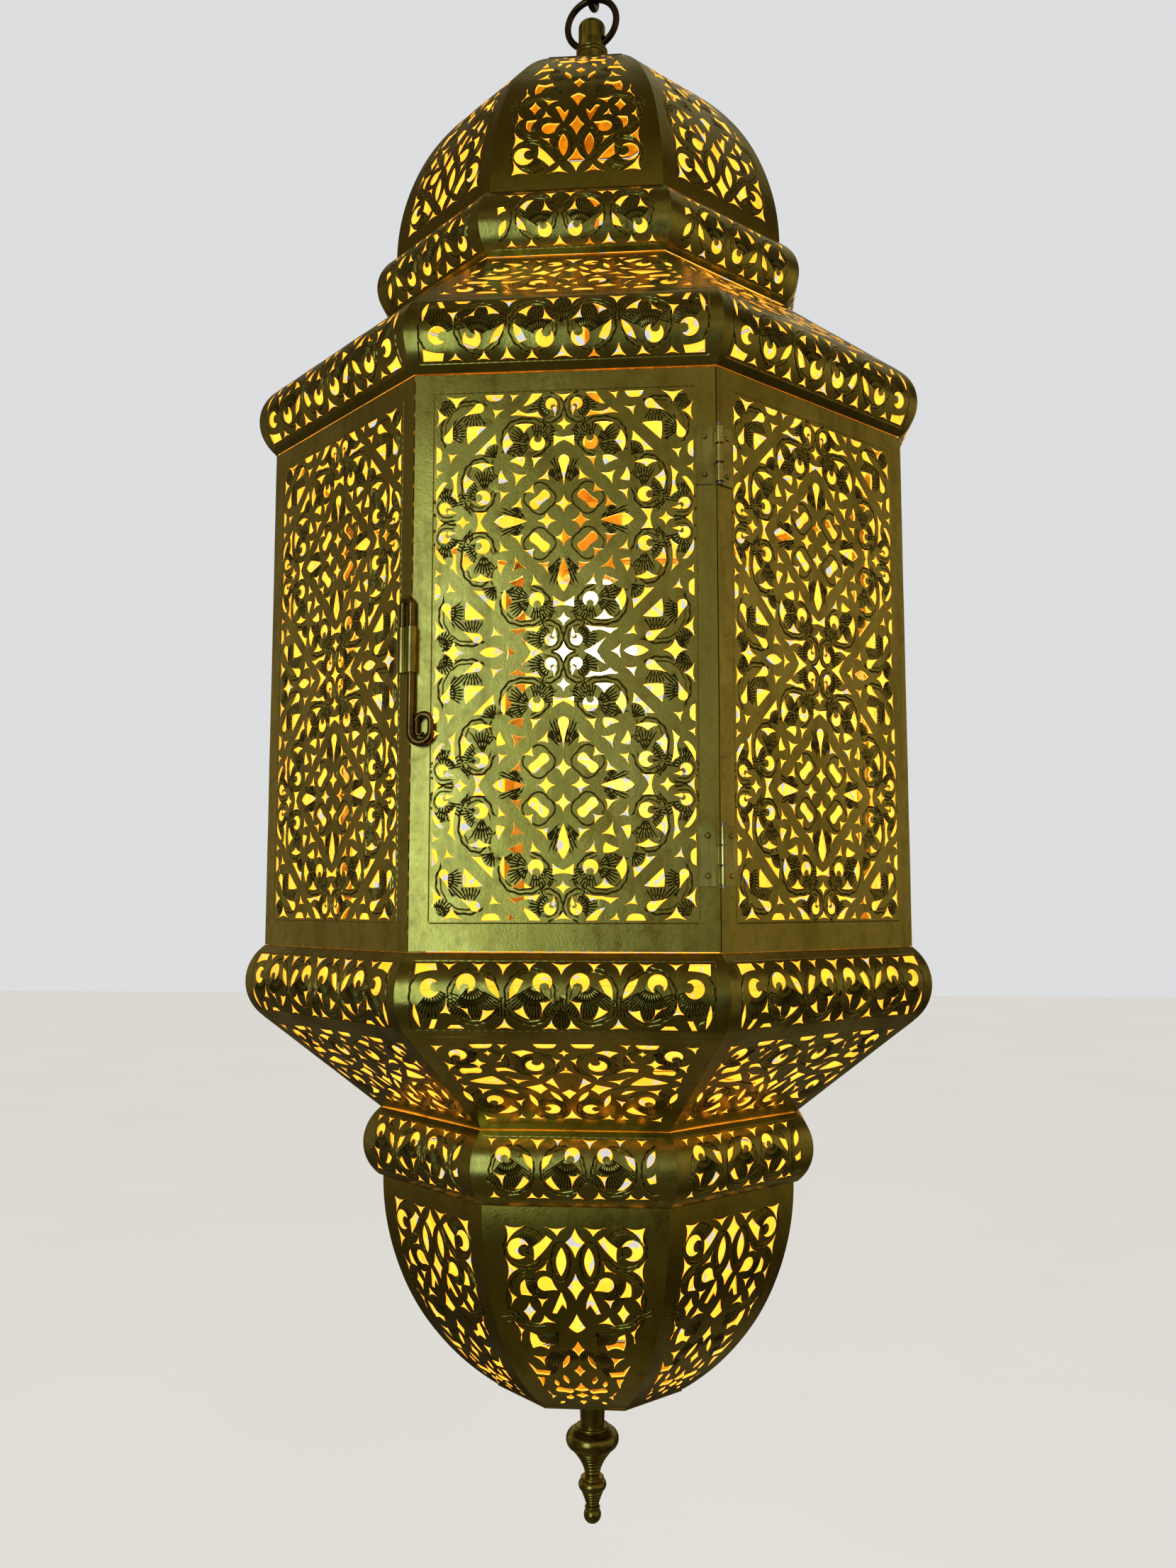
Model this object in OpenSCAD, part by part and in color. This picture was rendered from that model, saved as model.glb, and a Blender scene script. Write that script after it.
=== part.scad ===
// Hanging eight-sided pierced brass lantern: a tall body with a hinged door on its
// front face, a half-round band and a sloping panel ring above and below it, and a
// ribbed dome on each end. The origin is the point where a hook carries the top link.

/* [Body] */
// Distance between opposite faces of the body
across_flats = 380; // [370:1:392]
// Height of the straight faces, and of the door
body_height = 300; // [280:1:320]
// Thickness of the brass sheet
sheet = 1; // [0.8:0.1:1.2]
// Solder gap between neighbouring sheets
seam = 0.1; // [0.05:0.01:0.2]

/* [Bands and slopes] */
// Height of the half-round band above and below the body
band_height = 42; // [38:1:46]
// How far that band stands out from the body
band_bulge = 10; // [8:0.5:12]
// Height of the sloping panels
slope_height = 56; // [50:1:62]
// Distance between opposite faces of the collar
collar_flats = 250; // [246:1:256]
// Height of the half-round collar
collar_height = 40.5; // [36:0.5:44]
// How far the collar stands out
collar_bulge = 9.5; // [8:0.5:11]

/* [Domes] */
// Distance between opposite faces of a dome at its skirt
dome_flats = 246; // [240:1:246]
// Height of a dome from its skirt to its plate
dome_height = 129.5; // [125:0.5:132]
// Radius of the arc that every gore follows
gore_radius = 160; // [156:1:166]
// Thickness of the plates that close the domes
plate_thickness = 1; // [1:0.1:2]

/* [Door] */
// Gap along the top, the bottom and the hinged edge of the door
door_gap = 0.6; // [0.5:0.1:0.8]
// Height of each hinge
hinge_height = 30; // [26:1:34]
// Distance of each hinge's middle from the middle of the door
hinge_offset = 102; // [90:1:110]
// Width of a hinge leaf from the corner of the body
leaf_width = 11; // [10:0.5:13]
// Thickness of a hinge leaf
leaf_thickness = 0.8; // [0.6:0.1:0.8]
// Radius of the hinge barrel
barrel_radius = 2.4; // [2.2:0.1:2.6]

/* [Latch] */
// Radius of the hairpin's wire
latch_wire_radius = 2.1; // [1.8:0.1:2.2]
// Wall of the two tubes that the hairpin slides in
latch_tube_wall = 0.7; // [0.6:0.1:0.8]
// Height of the upper ends of the tubes over the middle of the door
latch_tube_top = 15.2; // [12:0.1:18]
// Length of the tubes
latch_tube_length = 23.5; // [20:0.5:26]

/* [Suspension] */
// Radius of the wire of the ring and the links
chain_wire_radius = 2.25; // [2:0.05:2.25]
// Outer diameter of the ring through the stem
ring_diameter = 40; // [38:0.5:42]
// Clear width inside a chain link
link_inner_width = 13; // [12:0.5:14]
// Clear length inside a chain link
link_inner_length = 30; // [26:1:34]
// Play between two links
link_play = 0.3; // [0.2:0.05:0.5]
// Turn of the ring about the vertical
ring_turn = -15; // [-20:1:20]
// Diameter of the base of the stem
stem_diameter = 20.4; // [20:0.2:22]
// Diameter of the stem above its cove
shank_diameter = 18.6; // [17:0.2:18.6]
// Height of the stem over the crown plate
stem_height = 63; // [58:0.5:66]

/* [Light] */
// Height of the bulb's widest point over the middle of the body
bulb_height = 35; // [20:1:50]
// Diameter of the bulb
bulb_diameter = 60; // [55:1:65]
// Diameter of the threaded tube that carries the lampholder
down_tube_diameter = 10; // [9:0.5:10]

/* [Finial] */
// Length of the finial under the base plate
finial_length = 89; // [86:0.5:92]

/* [Hidden] */
$fn = 96;

sides = 8;
face_turn = 360 / sides;
body_apothem = across_flats / 2;
collar_apothem = collar_flats / 2;
dome_apothem = dome_flats / 2;
body_side = across_flats * tan(face_turn / 2);

// Levels over the middle of the body; the lower half mirrors them.
band_level = body_height / 2;
slope_level = band_level + band_height;
collar_level = slope_level + slope_height;
dome_level = collar_level + collar_height;
crown_level = dome_level + dome_height;

// A dome gore is an arc whose centre lies beyond the axis.
gore_centre = dome_apothem - gore_radius;
gore_sweep = asin(dome_height / gore_radius);
crown_apothem = gore_centre + gore_radius * cos(gore_sweep);

// Suspension, counted from the ring in the stem up to the hook.
plate_inset = 0.8;
plate_top = crown_level + plate_thickness;
ring_radius = ring_diameter / 2 - chain_wire_radius;
ring_level = crown_level + 64;
ring_foot = ring_level - ring_radius;
cross_hole_level = ring_foot + 2.2;
cross_hole_radius = 4.2;
wire_step = 2 * chain_wire_radius + link_play;
link_bend = link_inner_width / 2 + chain_wire_radius;
link_straight = link_inner_length - link_inner_width;
link_length = link_straight + 2 * link_bend;
chain_link_foot = ring_level + ring_radius - wire_step;
hanging_link_foot = chain_link_foot + link_length - wire_step;
hook_level = hanging_link_foot + link_length - chain_wire_radius;

// Hinge axis, clear of both faces that meet at the door's right corner.
barrel_clear = 0.15;
hinge_clear = (barrel_radius + barrel_clear) / cos(face_turn / 2);
hinge_x = body_side / 2 + hinge_clear * sin(face_turn / 2);
hinge_y = body_apothem + hinge_clear * cos(face_turn / 2);
hinge_pin_radius = 1;
hinge_play = 0.05;
knuckle_height = hinge_height / 3;
knuckle_slit = 1.2;
leaf_setback = 1;
rivet_radius = 0.75;
rivet_play = 0.05;
rivet_across = body_side / 2 - leaf_width * 0.6;
rivet_half = hinge_height / 3;

// Latch: one tube on the door's edge, one on the panel beside it.
latch_play = 0.1;
latch_bore = latch_wire_radius + latch_play;
latch_tube_radius = latch_bore + latch_tube_wall;
sleeve_x = -(body_side / 2 - 0.8);
sleeve_y = -(body_apothem + latch_tube_radius);
keeper_along = 3.3;
keeper_x = -body_side / 2 - (keeper_along + latch_tube_radius) * cos(45);
keeper_y = -body_apothem + (keeper_along - latch_tube_radius) * sin(45);
latch_pitch = norm([keeper_x - sleeve_x, keeper_y - sleeve_y]);
latch_turn = atan2(keeper_y - sleeve_y, keeper_x - sleeve_x);
latch_bend_level = 26.8;
latch_tip_lift = 0.4;
scroll_level = -39;
scroll_radius = 5.3;
scroll_rise = 5.5;
scroll_inner = -1.9;
scroll_top_bend = (scroll_radius - scroll_inner) / 2;
scroll_eye_bend = 1.4;
// How much thinner the wire is round a bend, where bending has stretched it
bend_thinning = 0.03;

// Lamp.
tube_radius = down_tube_diameter / 2;
bulb_radius = bulb_diameter / 2;
bulb_neck_level = bulb_height + 52;
socket_level = bulb_neck_level + 2;
shell_height = 34;
cap_height = 24;
shell_radius = 20;
stem_bore = 6.5;
inlet_radius = 3.5;
tube_foot = socket_level + shell_height + cap_height - 6;
stud_radius = 3;
inlet_level = crown_level + 26;

// Piercing, in parts of half the width of the pierced field.
field_half = body_side / 2 - 11.7;

// ---- Placing ----

// Everything below the ring is laid out from the middle of the body.
module from_body() translate([0, 0, -hook_level]) children();

// Face number i, counted from the door; its outside looks along +X before the turn.
module on_face(i) from_body() rotate([0, 0, face_turn * i - 90]) children();

module upside_down() mirror([0, 0, 1]) children();

module ring_turned() rotate([0, 0, ring_turn]) children();

// One eighth of the plan, with half a solder gap taken off each side.
module wedge() {
    reach = across_flats;
    inset = seam / 2 / sin(face_turn / 2);
    linear_extrude(2 * crown_level, center = true)
        translate([inset, 0])
            polygon([
                [0, 0],
                [reach, -reach * tan(face_turn / 2)],
                [reach, reach * tan(face_turn / 2)]
            ]);
}

// A sheet wall of one face from its section: X is the distance from the axis, Y the height.
module wall() {
    intersection() {
        rotate([90, 0, 0])
            linear_extrude(across_flats, center = true)
                children();
        wedge();
    }
}

// Carries a flat outline onto a face that looks along +X.
module cut_through(apothem, depth) {
    translate([apothem - depth / 2, 0, 0])
        rotate([90, 0, 90])
            linear_extrude(depth)
                children();
}

// ---- Piercing ----

module star(radius) {
    polygon([for (i = [0:7]) radius * (i % 2 == 0 ? 1 : 0.4) * [cos(45 * i), sin(45 * i)]]);
}

// A teardrop with its point at the origin.
module teardrop(length) {
    bulb = length * 0.24;
    translate([0, length - bulb])
        circle(bulb);
    polygon([[0, 0], [bulb * 0.95, length - bulb * 1.3], [-bulb * 0.95, length - bulb * 1.3]]);
}

// The holes of one square of the body pattern, which repeats twice up each face.
module square_field(half) {
    star(half * 0.14);
    for (turn = [0:90:270])
        rotate(turn) {
            translate([0, half * 0.3])
                teardrop(half * 0.24);
            translate([0, half * 0.76])
                star(half * 0.12);
            translate([half * 0.82, half * 0.82])
                circle(half * 0.07);
            for (side = [-1, 1])
                translate([side * half * 0.29, half * 0.64])
                    circle(half * 0.075);
        }
}

module face_field() {
    for (side = [-1, 1])
        translate([0, side * field_half])
            square_field(field_half);
}

module rivet_holes(x, half) {
    for (level = [-1, 1], side = [-1, 1])
        translate([x, level * hinge_offset + side * half])
            circle(rivet_radius + rivet_play);
}

// ---- Body ----

module body_panel(i) {
    color("darkolivegreen")
        on_face(i)
            difference() {
                wall()
                    translate([body_apothem - sheet, -band_level + seam / 2])
                        square([sheet, body_height - seam]);
                cut_through(body_apothem, 4 * sheet) {
                    face_field();
                    if (i == 1)
                        rivet_holes(-rivet_across, rivet_half);
                }
            }
}

module door_panel() {
    left = -(body_side / 2 - 0.7);
    color("darkolivegreen")
        on_face(0)
            difference() {
                translate([body_apothem - sheet, left, -band_level + door_gap])
                    cube([sheet, body_side / 2 - door_gap - left, body_height - 2 * door_gap]);
                cut_through(body_apothem, 4 * sheet) {
                    face_field();
                    rivet_holes(rivet_across, rivet_half);
                }
            }
}

// Angle strips soldered inside the corners. The one at the hinges has one leg only.
module corner_strips() {
    width = 9;
    inside = body_apothem - sheet - seam / 2;
    reach = inside * tan(face_turn / 2);
    color("peru")
        for (i = [0:sides - 1]) {
            if (i > 0)
                on_face(i)
                    translate([inside - sheet, reach - width, -band_level])
                        cube([sheet, width, body_height]);
            on_face(i + 1)
                difference() {
                    translate([inside - sheet, -reach, -band_level])
                        cube([sheet, width, body_height]);
                    if (i == 0)
                        cut_through(inside, 4 * sheet)
                            rivet_holes(-rivet_across, rivet_half);
                }
        }
}

// Flat eight-sided rings that the strips and bands are soldered to.
module frame_rings() {
    inside = body_apothem - 2 * sheet;
    width = 9;
    thickness = 1.5;
    color("peru")
        from_body()
            for (level = [band_level + seam, -band_level - thickness - seam])
                translate([0, 0, level])
                    rotate(face_turn / 2)
                        linear_extrude(thickness)
                            difference() {
                                circle(inside / cos(face_turn / 2), $fn = 8);
                                circle((inside - width) / cos(face_turn / 2), $fn = 8);
                            }
}

// ---- Bands, slopes and collars ----

// Section of a half-round strip whose edges stand at the given distance from the axis.
module bulged_section(apothem, height, bulge) {
    radius = (pow(height / 2, 2) + bulge * bulge) / (2 * bulge);
    intersection() {
        translate([apothem + bulge - radius, height / 2])
            difference() {
                circle(radius);
                circle(radius - sheet);
            }
        translate([apothem - 2 * sheet, seam / 2])
            square([2 * sheet + bulge, height - seam]);
    }
}

module bulged_ring(apothem, level, height, bulge, eyes, pitch) {
    for (i = [0:sides - 1])
        rotate([0, 0, face_turn * i])
            difference() {
                wall()
                    translate([0, level])
                        bulged_section(apothem, height, bulge);
                for (eye = [0:eyes - 1])
                    translate([apothem, (eye - (eyes - 1) / 2) * pitch, level + height / 2])
                        rotate([0, 90, 0])
                            cylinder(r = 3, h = 2 * bulge);
            }
}

module band() color("olive") bulged_ring(body_apothem, band_level, band_height, band_bulge, 6, 24);

module collar() {
    color("olive")
        bulged_ring(collar_apothem, collar_level, collar_height, collar_bulge, 4, 23);
}

module upper_band() from_body() band();

module lower_band() from_body() upside_down() band();

module upper_collar() from_body() collar();

module lower_collar() from_body() upside_down() collar();

module slopes() {
    run = body_apothem - collar_apothem;
    lean = atan(run / slope_height);
    drop = sheet / cos(lean);
    color("darkolivegreen")
        for (i = [0:sides - 1])
            rotate([0, 0, face_turn * i])
                difference() {
                    wall()
                        polygon([
                            [body_apothem, slope_level + seam],
                            [collar_apothem, collar_level - seam],
                            [collar_apothem - drop, collar_level - seam],
                            [body_apothem - drop, slope_level + seam]
                        ]);
                    translate([body_apothem - run / 2, 0, slope_level + slope_height / 2])
                        rotate([90, 0, 90])
                            rotate([-lean, 0, 0])
                                translate([0, 0, -10])
                                    linear_extrude(20)
                                        for (side = [-1, 0, 1])
                                            translate([side * 34, -6 * abs(side)])
                                                star(12);
                }
}

module upper_slopes() from_body() slopes();

module lower_slopes() from_body() upside_down() slopes();

// ---- Domes ----

// The gore's holes: pairs low down, single ones higher, each square to the sheet.
module gore_holes() {
    for (hole = [[8, 30, 5], [20, 22, 4], [32, 16, 3]], side = [-1, 1])
        gore_punch(hole[0], side * hole[1], hole[2]);
    for (angle = [14:11:47])
        gore_punch(angle, 0, 4.5 - angle * 0.05);
}

module gore_punch(angle, across, radius) {
    translate([gore_centre, 0, dome_level])
        rotate([0, -angle, 0])
            translate([gore_radius - 3 * sheet, across, 0])
                rotate([0, 90, 0])
                    cylinder(r = radius, h = 5 * sheet);
}

module gore() {
    color("olivedrab")
        difference() {
            wall()
                intersection() {
                    translate([gore_centre, dome_level])
                        difference() {
                            circle(gore_radius);
                            circle(gore_radius - sheet);
                        }
                    translate([0, dome_level + seam / 2])
                        square([dome_apothem, dome_height - seam]);
                }
            gore_holes();
        }
}

module top_gore(i) on_face(i) gore();

module bottom_gore(i) on_face(i) upside_down() gore();

module closing_plate(bore) {
    rotate(face_turn / 2)
        linear_extrude(plate_thickness)
            difference() {
                circle((crown_apothem - plate_inset) / cos(face_turn / 2), $fn = 8);
                circle(bore);
            }
}

module crown_plate() {
    color("darkgoldenrod")
        from_body()
            translate([0, 0, crown_level])
                closing_plate(tube_radius + 0.1);
}

module base_plate() {
    color("darkgoldenrod")
        from_body()
            translate([0, 0, -crown_level - plate_thickness])
                closing_plate(stud_radius + 0.1);
}

// ---- Suspension ----

module wire_bend(bend, wire) {
    rotate([90, 0, 0])
        rotate_extrude(angle = 180)
            translate([bend, 0])
                circle(wire, $fn = 48);
}

// A chain link that stands on its lower end.
module link() {
    translate([0, 0, link_bend]) {
        translate([0, 0, link_straight])
            wire_bend(link_bend, chain_wire_radius);
        rotate([180, 0, 0])
            wire_bend(link_bend, chain_wire_radius);
        for (side = [-1, 1])
            translate([side * link_bend, 0, 0])
                cylinder(r = chain_wire_radius, h = link_straight, $fn = 48);
    }
}

module hanging_link() {
    color("saddlebrown")
        from_body()
            ring_turned()
                translate([0, 0, hanging_link_foot])
                    link();
}

module chain_link() {
    color("saddlebrown")
        from_body()
            ring_turned()
                translate([0, 0, chain_link_foot])
                    rotate([0, 0, 90])
                        link();
}

module suspension_ring() {
    color("saddlebrown")
        from_body()
            ring_turned()
                translate([0, 0, ring_level])
                    rotate([90, 0, 0])
                        rotate_extrude()
                            translate([ring_radius, 0])
                                circle(chain_wire_radius, $fn = 48);
}

// The round edge of a turned bead, with the metal behind it.
module bead(radius, level, round) {
    translate([0, level - 0.8 * round])
        square([radius - round, 1.6 * round]);
    translate([radius - round, level])
        circle(round);
}

// Hollow turned stem: flange, base with two beads, a cove, and a shank with a rounded top.
module stem_section() {
    base = stem_diameter / 2;
    shank = shank_diameter / 2;
    rounding = 4;
    foot = plate_top + 0.05;
    cove_foot = crown_level + 44;
    cove_head = cove_foot + 6;
    shoulder = crown_level + stem_height + plate_thickness - rounding;
    flange_height = 3;
    boss_radius = 18;
    translate([0, foot]) {
        square([26, flange_height]);
        translate([0, flange_height])
            square([boss_radius, 4]);
        translate([boss_radius, flange_height + 2])
            circle(2);
    }
    polygon([[0, foot], [base, foot], [base, cove_foot], [shank, cove_head],
        [shank, shoulder], [0, shoulder]]);
    for (level = [cove_foot - 3.8, cove_foot - 1.2])
        bead(base + 0.7, level, 1.1);
    translate([0, shoulder])
        square([shank - rounding, rounding]);
    intersection() {
        translate([shank - rounding, shoulder])
            circle(rounding);
        translate([0, shoulder])
            square([shank, rounding]);
    }
}

// The down tube screws into the foot of the stem; a wider bore above it lets the ring swing.
module stem() {
    bore_foot = crown_level + 18;
    roof = 6.5;
    color("darkgoldenrod")
        from_body()
            difference() {
                rotate_extrude()
                    stem_section();
                translate([0, 0, crown_level])
                    cylinder(r = tube_radius + 0.05, h = bore_foot + 1 - crown_level);
                translate([0, 0, bore_foot])
                    cylinder(r = stem_bore, h = plate_top + stem_height - roof - bore_foot);
                translate([0, 0, cross_hole_level])
                    ring_turned()
                        rotate([0, 90, 0])
                            cylinder(r = cross_hole_radius, h = 2 * stem_diameter, center = true);
                translate([0, 0, inlet_level])
                    rotate([-90, 0, 0])
                        cylinder(r = inlet_radius, h = stem_diameter);
            }
}

// ---- Lamp ----

module down_tube() {
    color("goldenrod")
        from_body()
            translate([0, 0, tube_foot])
                difference() {
                    cylinder(r = tube_radius, h = crown_level + 17 - tube_foot);
                    translate([0, 0, -1])
                        cylinder(r = tube_radius - 1.5, h = crown_level);
                }
}

// One nut under the crown plate and one on the lampholder.
module tube_nuts() {
    nut_height = 4;
    color("goldenrod")
        from_body()
            for (level = [crown_level - nut_height, socket_level + shell_height + cap_height + 0.05])
                translate([0, 0, level])
                    difference() {
                        cylinder(r = 8.5, h = nut_height, $fn = 6);
                        translate([0, 0, -1])
                            cylinder(r = tube_radius + 0.05, h = nut_height + 2);
                    }
}

module lampholder_cap() {
    wall = 2;
    color("darkgoldenrod")
        from_body()
            translate([0, 0, socket_level + shell_height + 0.05])
                difference() {
                    union() {
                        cylinder(r = shell_radius, h = cap_height / 2);
                        translate([0, 0, cap_height / 2])
                            cylinder(r1 = shell_radius, r2 = 10, h = cap_height / 2 - 0.05);
                    }
                    translate([0, 0, -1])
                        cylinder(r = shell_radius - wall, h = cap_height / 2 + 1);
                    translate([0, 0, -1])
                        cylinder(r = tube_radius + 0.05, h = cap_height + 2);
                }
}

module lampholder_shell() {
    wall = 2;
    color("darkgoldenrod")
        from_body()
            translate([0, 0, socket_level])
                difference() {
                    union() {
                        cylinder(r = shell_radius, h = shell_height);
                        translate([0, 0, 3])
                            cylinder(r = shell_radius + 2, h = 4);
                    }
                    translate([0, 0, -1])
                        cylinder(r = shell_radius - wall, h = shell_height + 2);
                }
}

// The ceramic insert that takes the bulb's screw cap.
module lampholder_insert() {
    color("ivory")
        from_body()
            translate([0, 0, socket_level + 4])
                difference() {
                    cylinder(r = shell_radius - 2.05, h = shell_height - 6);
                    translate([0, 0, -1])
                        cylinder(r = 13.6, h = shell_height - 11);
                }
}

module bulb_cap() {
    color("silver")
        from_body()
            translate([0, 0, bulb_neck_level - 1]) {
                cylinder(r = 13.2, h = 22);
                translate([0, 0, 22])
                    cylinder(r1 = 13.2, r2 = 5, h = 5);
            }
}

// Pear-shaped glass: a round bowl and a cone that meets it along its tangent.
module pear(radius) {
    neck = 13.2 * radius / bulb_radius;
    rise = bulb_neck_level - bulb_height - 1.05;
    lean = asin((radius - neck) / rise);
    intersection() {
        union() {
            circle(radius);
            polygon([[0, 0], [radius * cos(lean), radius * sin(lean)], [neck, rise], [0, rise]]);
        }
        translate([0, -radius])
            square([radius, radius + rise]);
    }
}

module bulb_glass() {
    color("lightyellow", 0.6)
        from_body()
            translate([0, 0, bulb_height])
                rotate_extrude()
                    difference() {
                        pear(bulb_radius);
                        pear(bulb_radius - sheet);
                    }
}

// ---- Finial ----

// Rings down a cove, each smaller than the one above it; first and last are radii.
module ring_stack(depth, pitch, count, first, last, curve) {
    for (k = [0:count - 1])
        bead(last + (first - last) * pow(1 - k / count, curve), depth + pitch * k, 0.6 * pitch);
}

// Turned profile, by depth under the base plate: neck, flattened ball, ringed cove, small ball,
// ringed cove and tip. Each bead has its radius, depth and roundness.
module finial_section() {
    core = 3.2;
    collar_depth = 31.4;
    ball_depth = 38.4;
    small_ball_depth = 65.7;
    tip = 5.4;
    square([core, finial_length - tip]);
    translate([0, 0.05])
        square([13, 3]);
    bead(11.4, 4.4, 1.2);
    polygon([[0, 3], [8.4, 3], [7.4, collar_depth - 0.8], [0, collar_depth - 0.8]]);
    bead(10.8, collar_depth, 1);
    translate([0, collar_depth + 0.6])
        square([9.6, 14.2]);
    bead(16.5, ball_depth, 6.4);
    bead(11.7, ball_depth + 7, 0.9);
    ring_stack(47.3, 2.2, 6, 10.1, 4.7, 1.8);
    translate([0, 58])
        square([4.5, 4]);
    bead(7.3, small_ball_depth - 4.1, 0.8);
    bead(8.7, small_ball_depth, 3.8);
    ring_stack(70, 1.8, 5, 6.6, 3.7, 1.3);
    bead(4.8, 79, 0.7);
    intersection() {
        translate([0, finial_length - tip])
            circle(tip);
        translate([0, finial_length - 2 * tip - 1])
            square(2 * tip + 1);
    }
}

module finial() {
    color("darkgoldenrod")
        from_body()
            translate([0, 0, -crown_level - plate_thickness])
                upside_down()
                    difference() {
                        rotate_extrude()
                            finial_section();
                        translate([0, 0, -1])
                            cylinder(r = stud_radius + 0.05, h = 19);
                    }
}

module finial_stud() {
    color("silver")
        from_body()
            translate([0, 0, -crown_level - plate_thickness - 17])
                cylinder(r = stud_radius, h = 30);
}

module finial_nut() {
    height = 5;
    color("silver")
        from_body()
            translate([0, 0, -crown_level + 0.05])
                difference() {
                    cylinder(r = 6, h = height, $fn = 6);
                    translate([0, 0, -1])
                        cylinder(r = stud_radius + 0.05, h = height + 2);
                }
}

// ---- Door hinges ----

// Places a hinge's own frame at its axis: the door leaf runs along -X, its back along +Y.
module at_hinge(side) {
    from_body()
        translate([hinge_x, -hinge_y, side * hinge_offset])
            children();
}

// A leaf with its knuckles; knuckles counts them from the lower end.
module hinge_leaf(knuckles) {
    back = hinge_y - body_apothem;
    clear = barrel_radius + leaf_setback;
    plate = leaf_width + hinge_x - body_side / 2;
    difference() {
        union() {
            translate([-plate, back - leaf_thickness, -hinge_height / 2])
                cube([plate - clear, leaf_thickness, hinge_height]);
            for (i = knuckles)
                translate([0, 0, (i - 1.5) * knuckle_height + knuckle_slit / 2]) {
                    cylinder(r = barrel_radius, h = knuckle_height - knuckle_slit);
                    translate([-clear, back - leaf_thickness, 0])
                        cube([clear, leaf_thickness, knuckle_height - knuckle_slit]);
                }
        }
        cylinder(r = hinge_pin_radius + hinge_play, h = 2 * hinge_height, center = true);
        for (side = [-1, 1])
            translate([rivet_across - hinge_x, 0, side * rivet_half])
                rotate([-90, 0, 0])
                    cylinder(r = rivet_radius + rivet_play, h = 4 * barrel_radius);
    }
}

module door_leaf(side) color("peru") at_hinge(side) hinge_leaf([1]);

// The frame leaf is the door leaf's mirror image in the plane that halves the corner.
module frame_leaf(side) {
    color("peru")
        at_hinge(side)
            mirror([cos(face_turn / 2), sin(face_turn / 2), 0])
                hinge_leaf([0, 2]);
}

module hinge_pin(side) {
    head = 0.8;
    color("silver")
        at_hinge(side) {
            cylinder(r = hinge_pin_radius, h = hinge_height + 0.4, center = true);
            for (end = [-1, 1])
                translate([0, 0, end * (hinge_height / 2 + 0.15 + head / 2)])
                    cylinder(r = hinge_pin_radius + 0.6, h = head, center = true);
        }
}

// One round-headed rivet through a leaf and what lies behind it, closed by a flat head.
module leaf_rivet(end, layers) {
    tail = 0.6;
    translate([rivet_across - hinge_x, hinge_y - body_apothem - leaf_thickness, end * rivet_half])
        rotate([-90, 0, 0]) {
            translate([0, 0, -1])
                cylinder(r1 = rivet_radius * 1.2, r2 = 1.6, h = 0.95);
            translate([0, 0, -0.3])
                cylinder(r = rivet_radius, h = leaf_thickness + layers + tail + 0.3);
            translate([0, 0, leaf_thickness + layers + 0.05])
                cylinder(r = 1.3, h = tail);
        }
}

module door_rivets() {
    color("goldenrod")
        for (side = [-1, 1], end = [-1, 1])
            at_hinge(side)
                leaf_rivet(end, sheet);
}

module frame_rivets() {
    color("goldenrod")
        for (side = [-1, 1], end = [-1, 1])
            at_hinge(side)
                mirror([cos(face_turn / 2), sin(face_turn / 2), 0])
                    leaf_rivet(end, 2 * sheet + seam / 2);
}

// ---- Latch ----

module latch_tube(x, y) {
    from_body()
        translate([x, y, latch_tube_top - latch_tube_length])
            difference() {
                cylinder(r = latch_tube_radius, h = latch_tube_length, $fn = 64);
                translate([0, 0, -1])
                    cylinder(r = latch_bore, h = latch_tube_length + 2, $fn = 64);
            }
}

module latch_sleeve() color("peru") latch_tube(sleeve_x, sleeve_y);

module latch_keeper() color("peru") latch_tube(keeper_x, keeper_y);

// Hairpin: a short leg over the keeper, a long leg through the sleeve and a scroll below,
// whose wire thins as it winds in.
module latch_hairpin() {
    thin = latch_wire_radius * 0.8;
    tip = latch_wire_radius * 0.52;
    short_leg_tip = latch_tube_top + latch_tip_lift;
    color("saddlebrown")
        from_body()
            translate([sleeve_x, sleeve_y, 0]) {
                translate([0, 0, scroll_level])
                    cylinder(r = latch_wire_radius, h = latch_bend_level - scroll_level);
                rotate([0, 0, latch_turn]) {
                    translate([latch_pitch / 2, 0, latch_bend_level])
                        wire_bend(latch_pitch / 2, latch_wire_radius - bend_thinning);
                    translate([latch_pitch, 0, short_leg_tip])
                        cylinder(r = latch_wire_radius, h = latch_bend_level - short_leg_tip);
                }
                translate([scroll_radius, 0, scroll_level]) {
                    rotate([180, 0, 0])
                        wire_bend(scroll_radius, latch_wire_radius - bend_thinning);
                    translate([scroll_radius, 0, 0])
                        cylinder(r = thin, h = scroll_rise);
                    translate([scroll_radius - scroll_top_bend, 0, scroll_rise])
                        wire_bend(scroll_top_bend, thin - bend_thinning);
                    translate([scroll_inner, 0, 0])
                        cylinder(r = tip, h = scroll_rise);
                    translate([scroll_inner + scroll_eye_bend, 0, 0])
                        rotate([180, 0, 0])
                            wire_bend(scroll_eye_bend, tip - bend_thinning);
                }
            }
}

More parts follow.
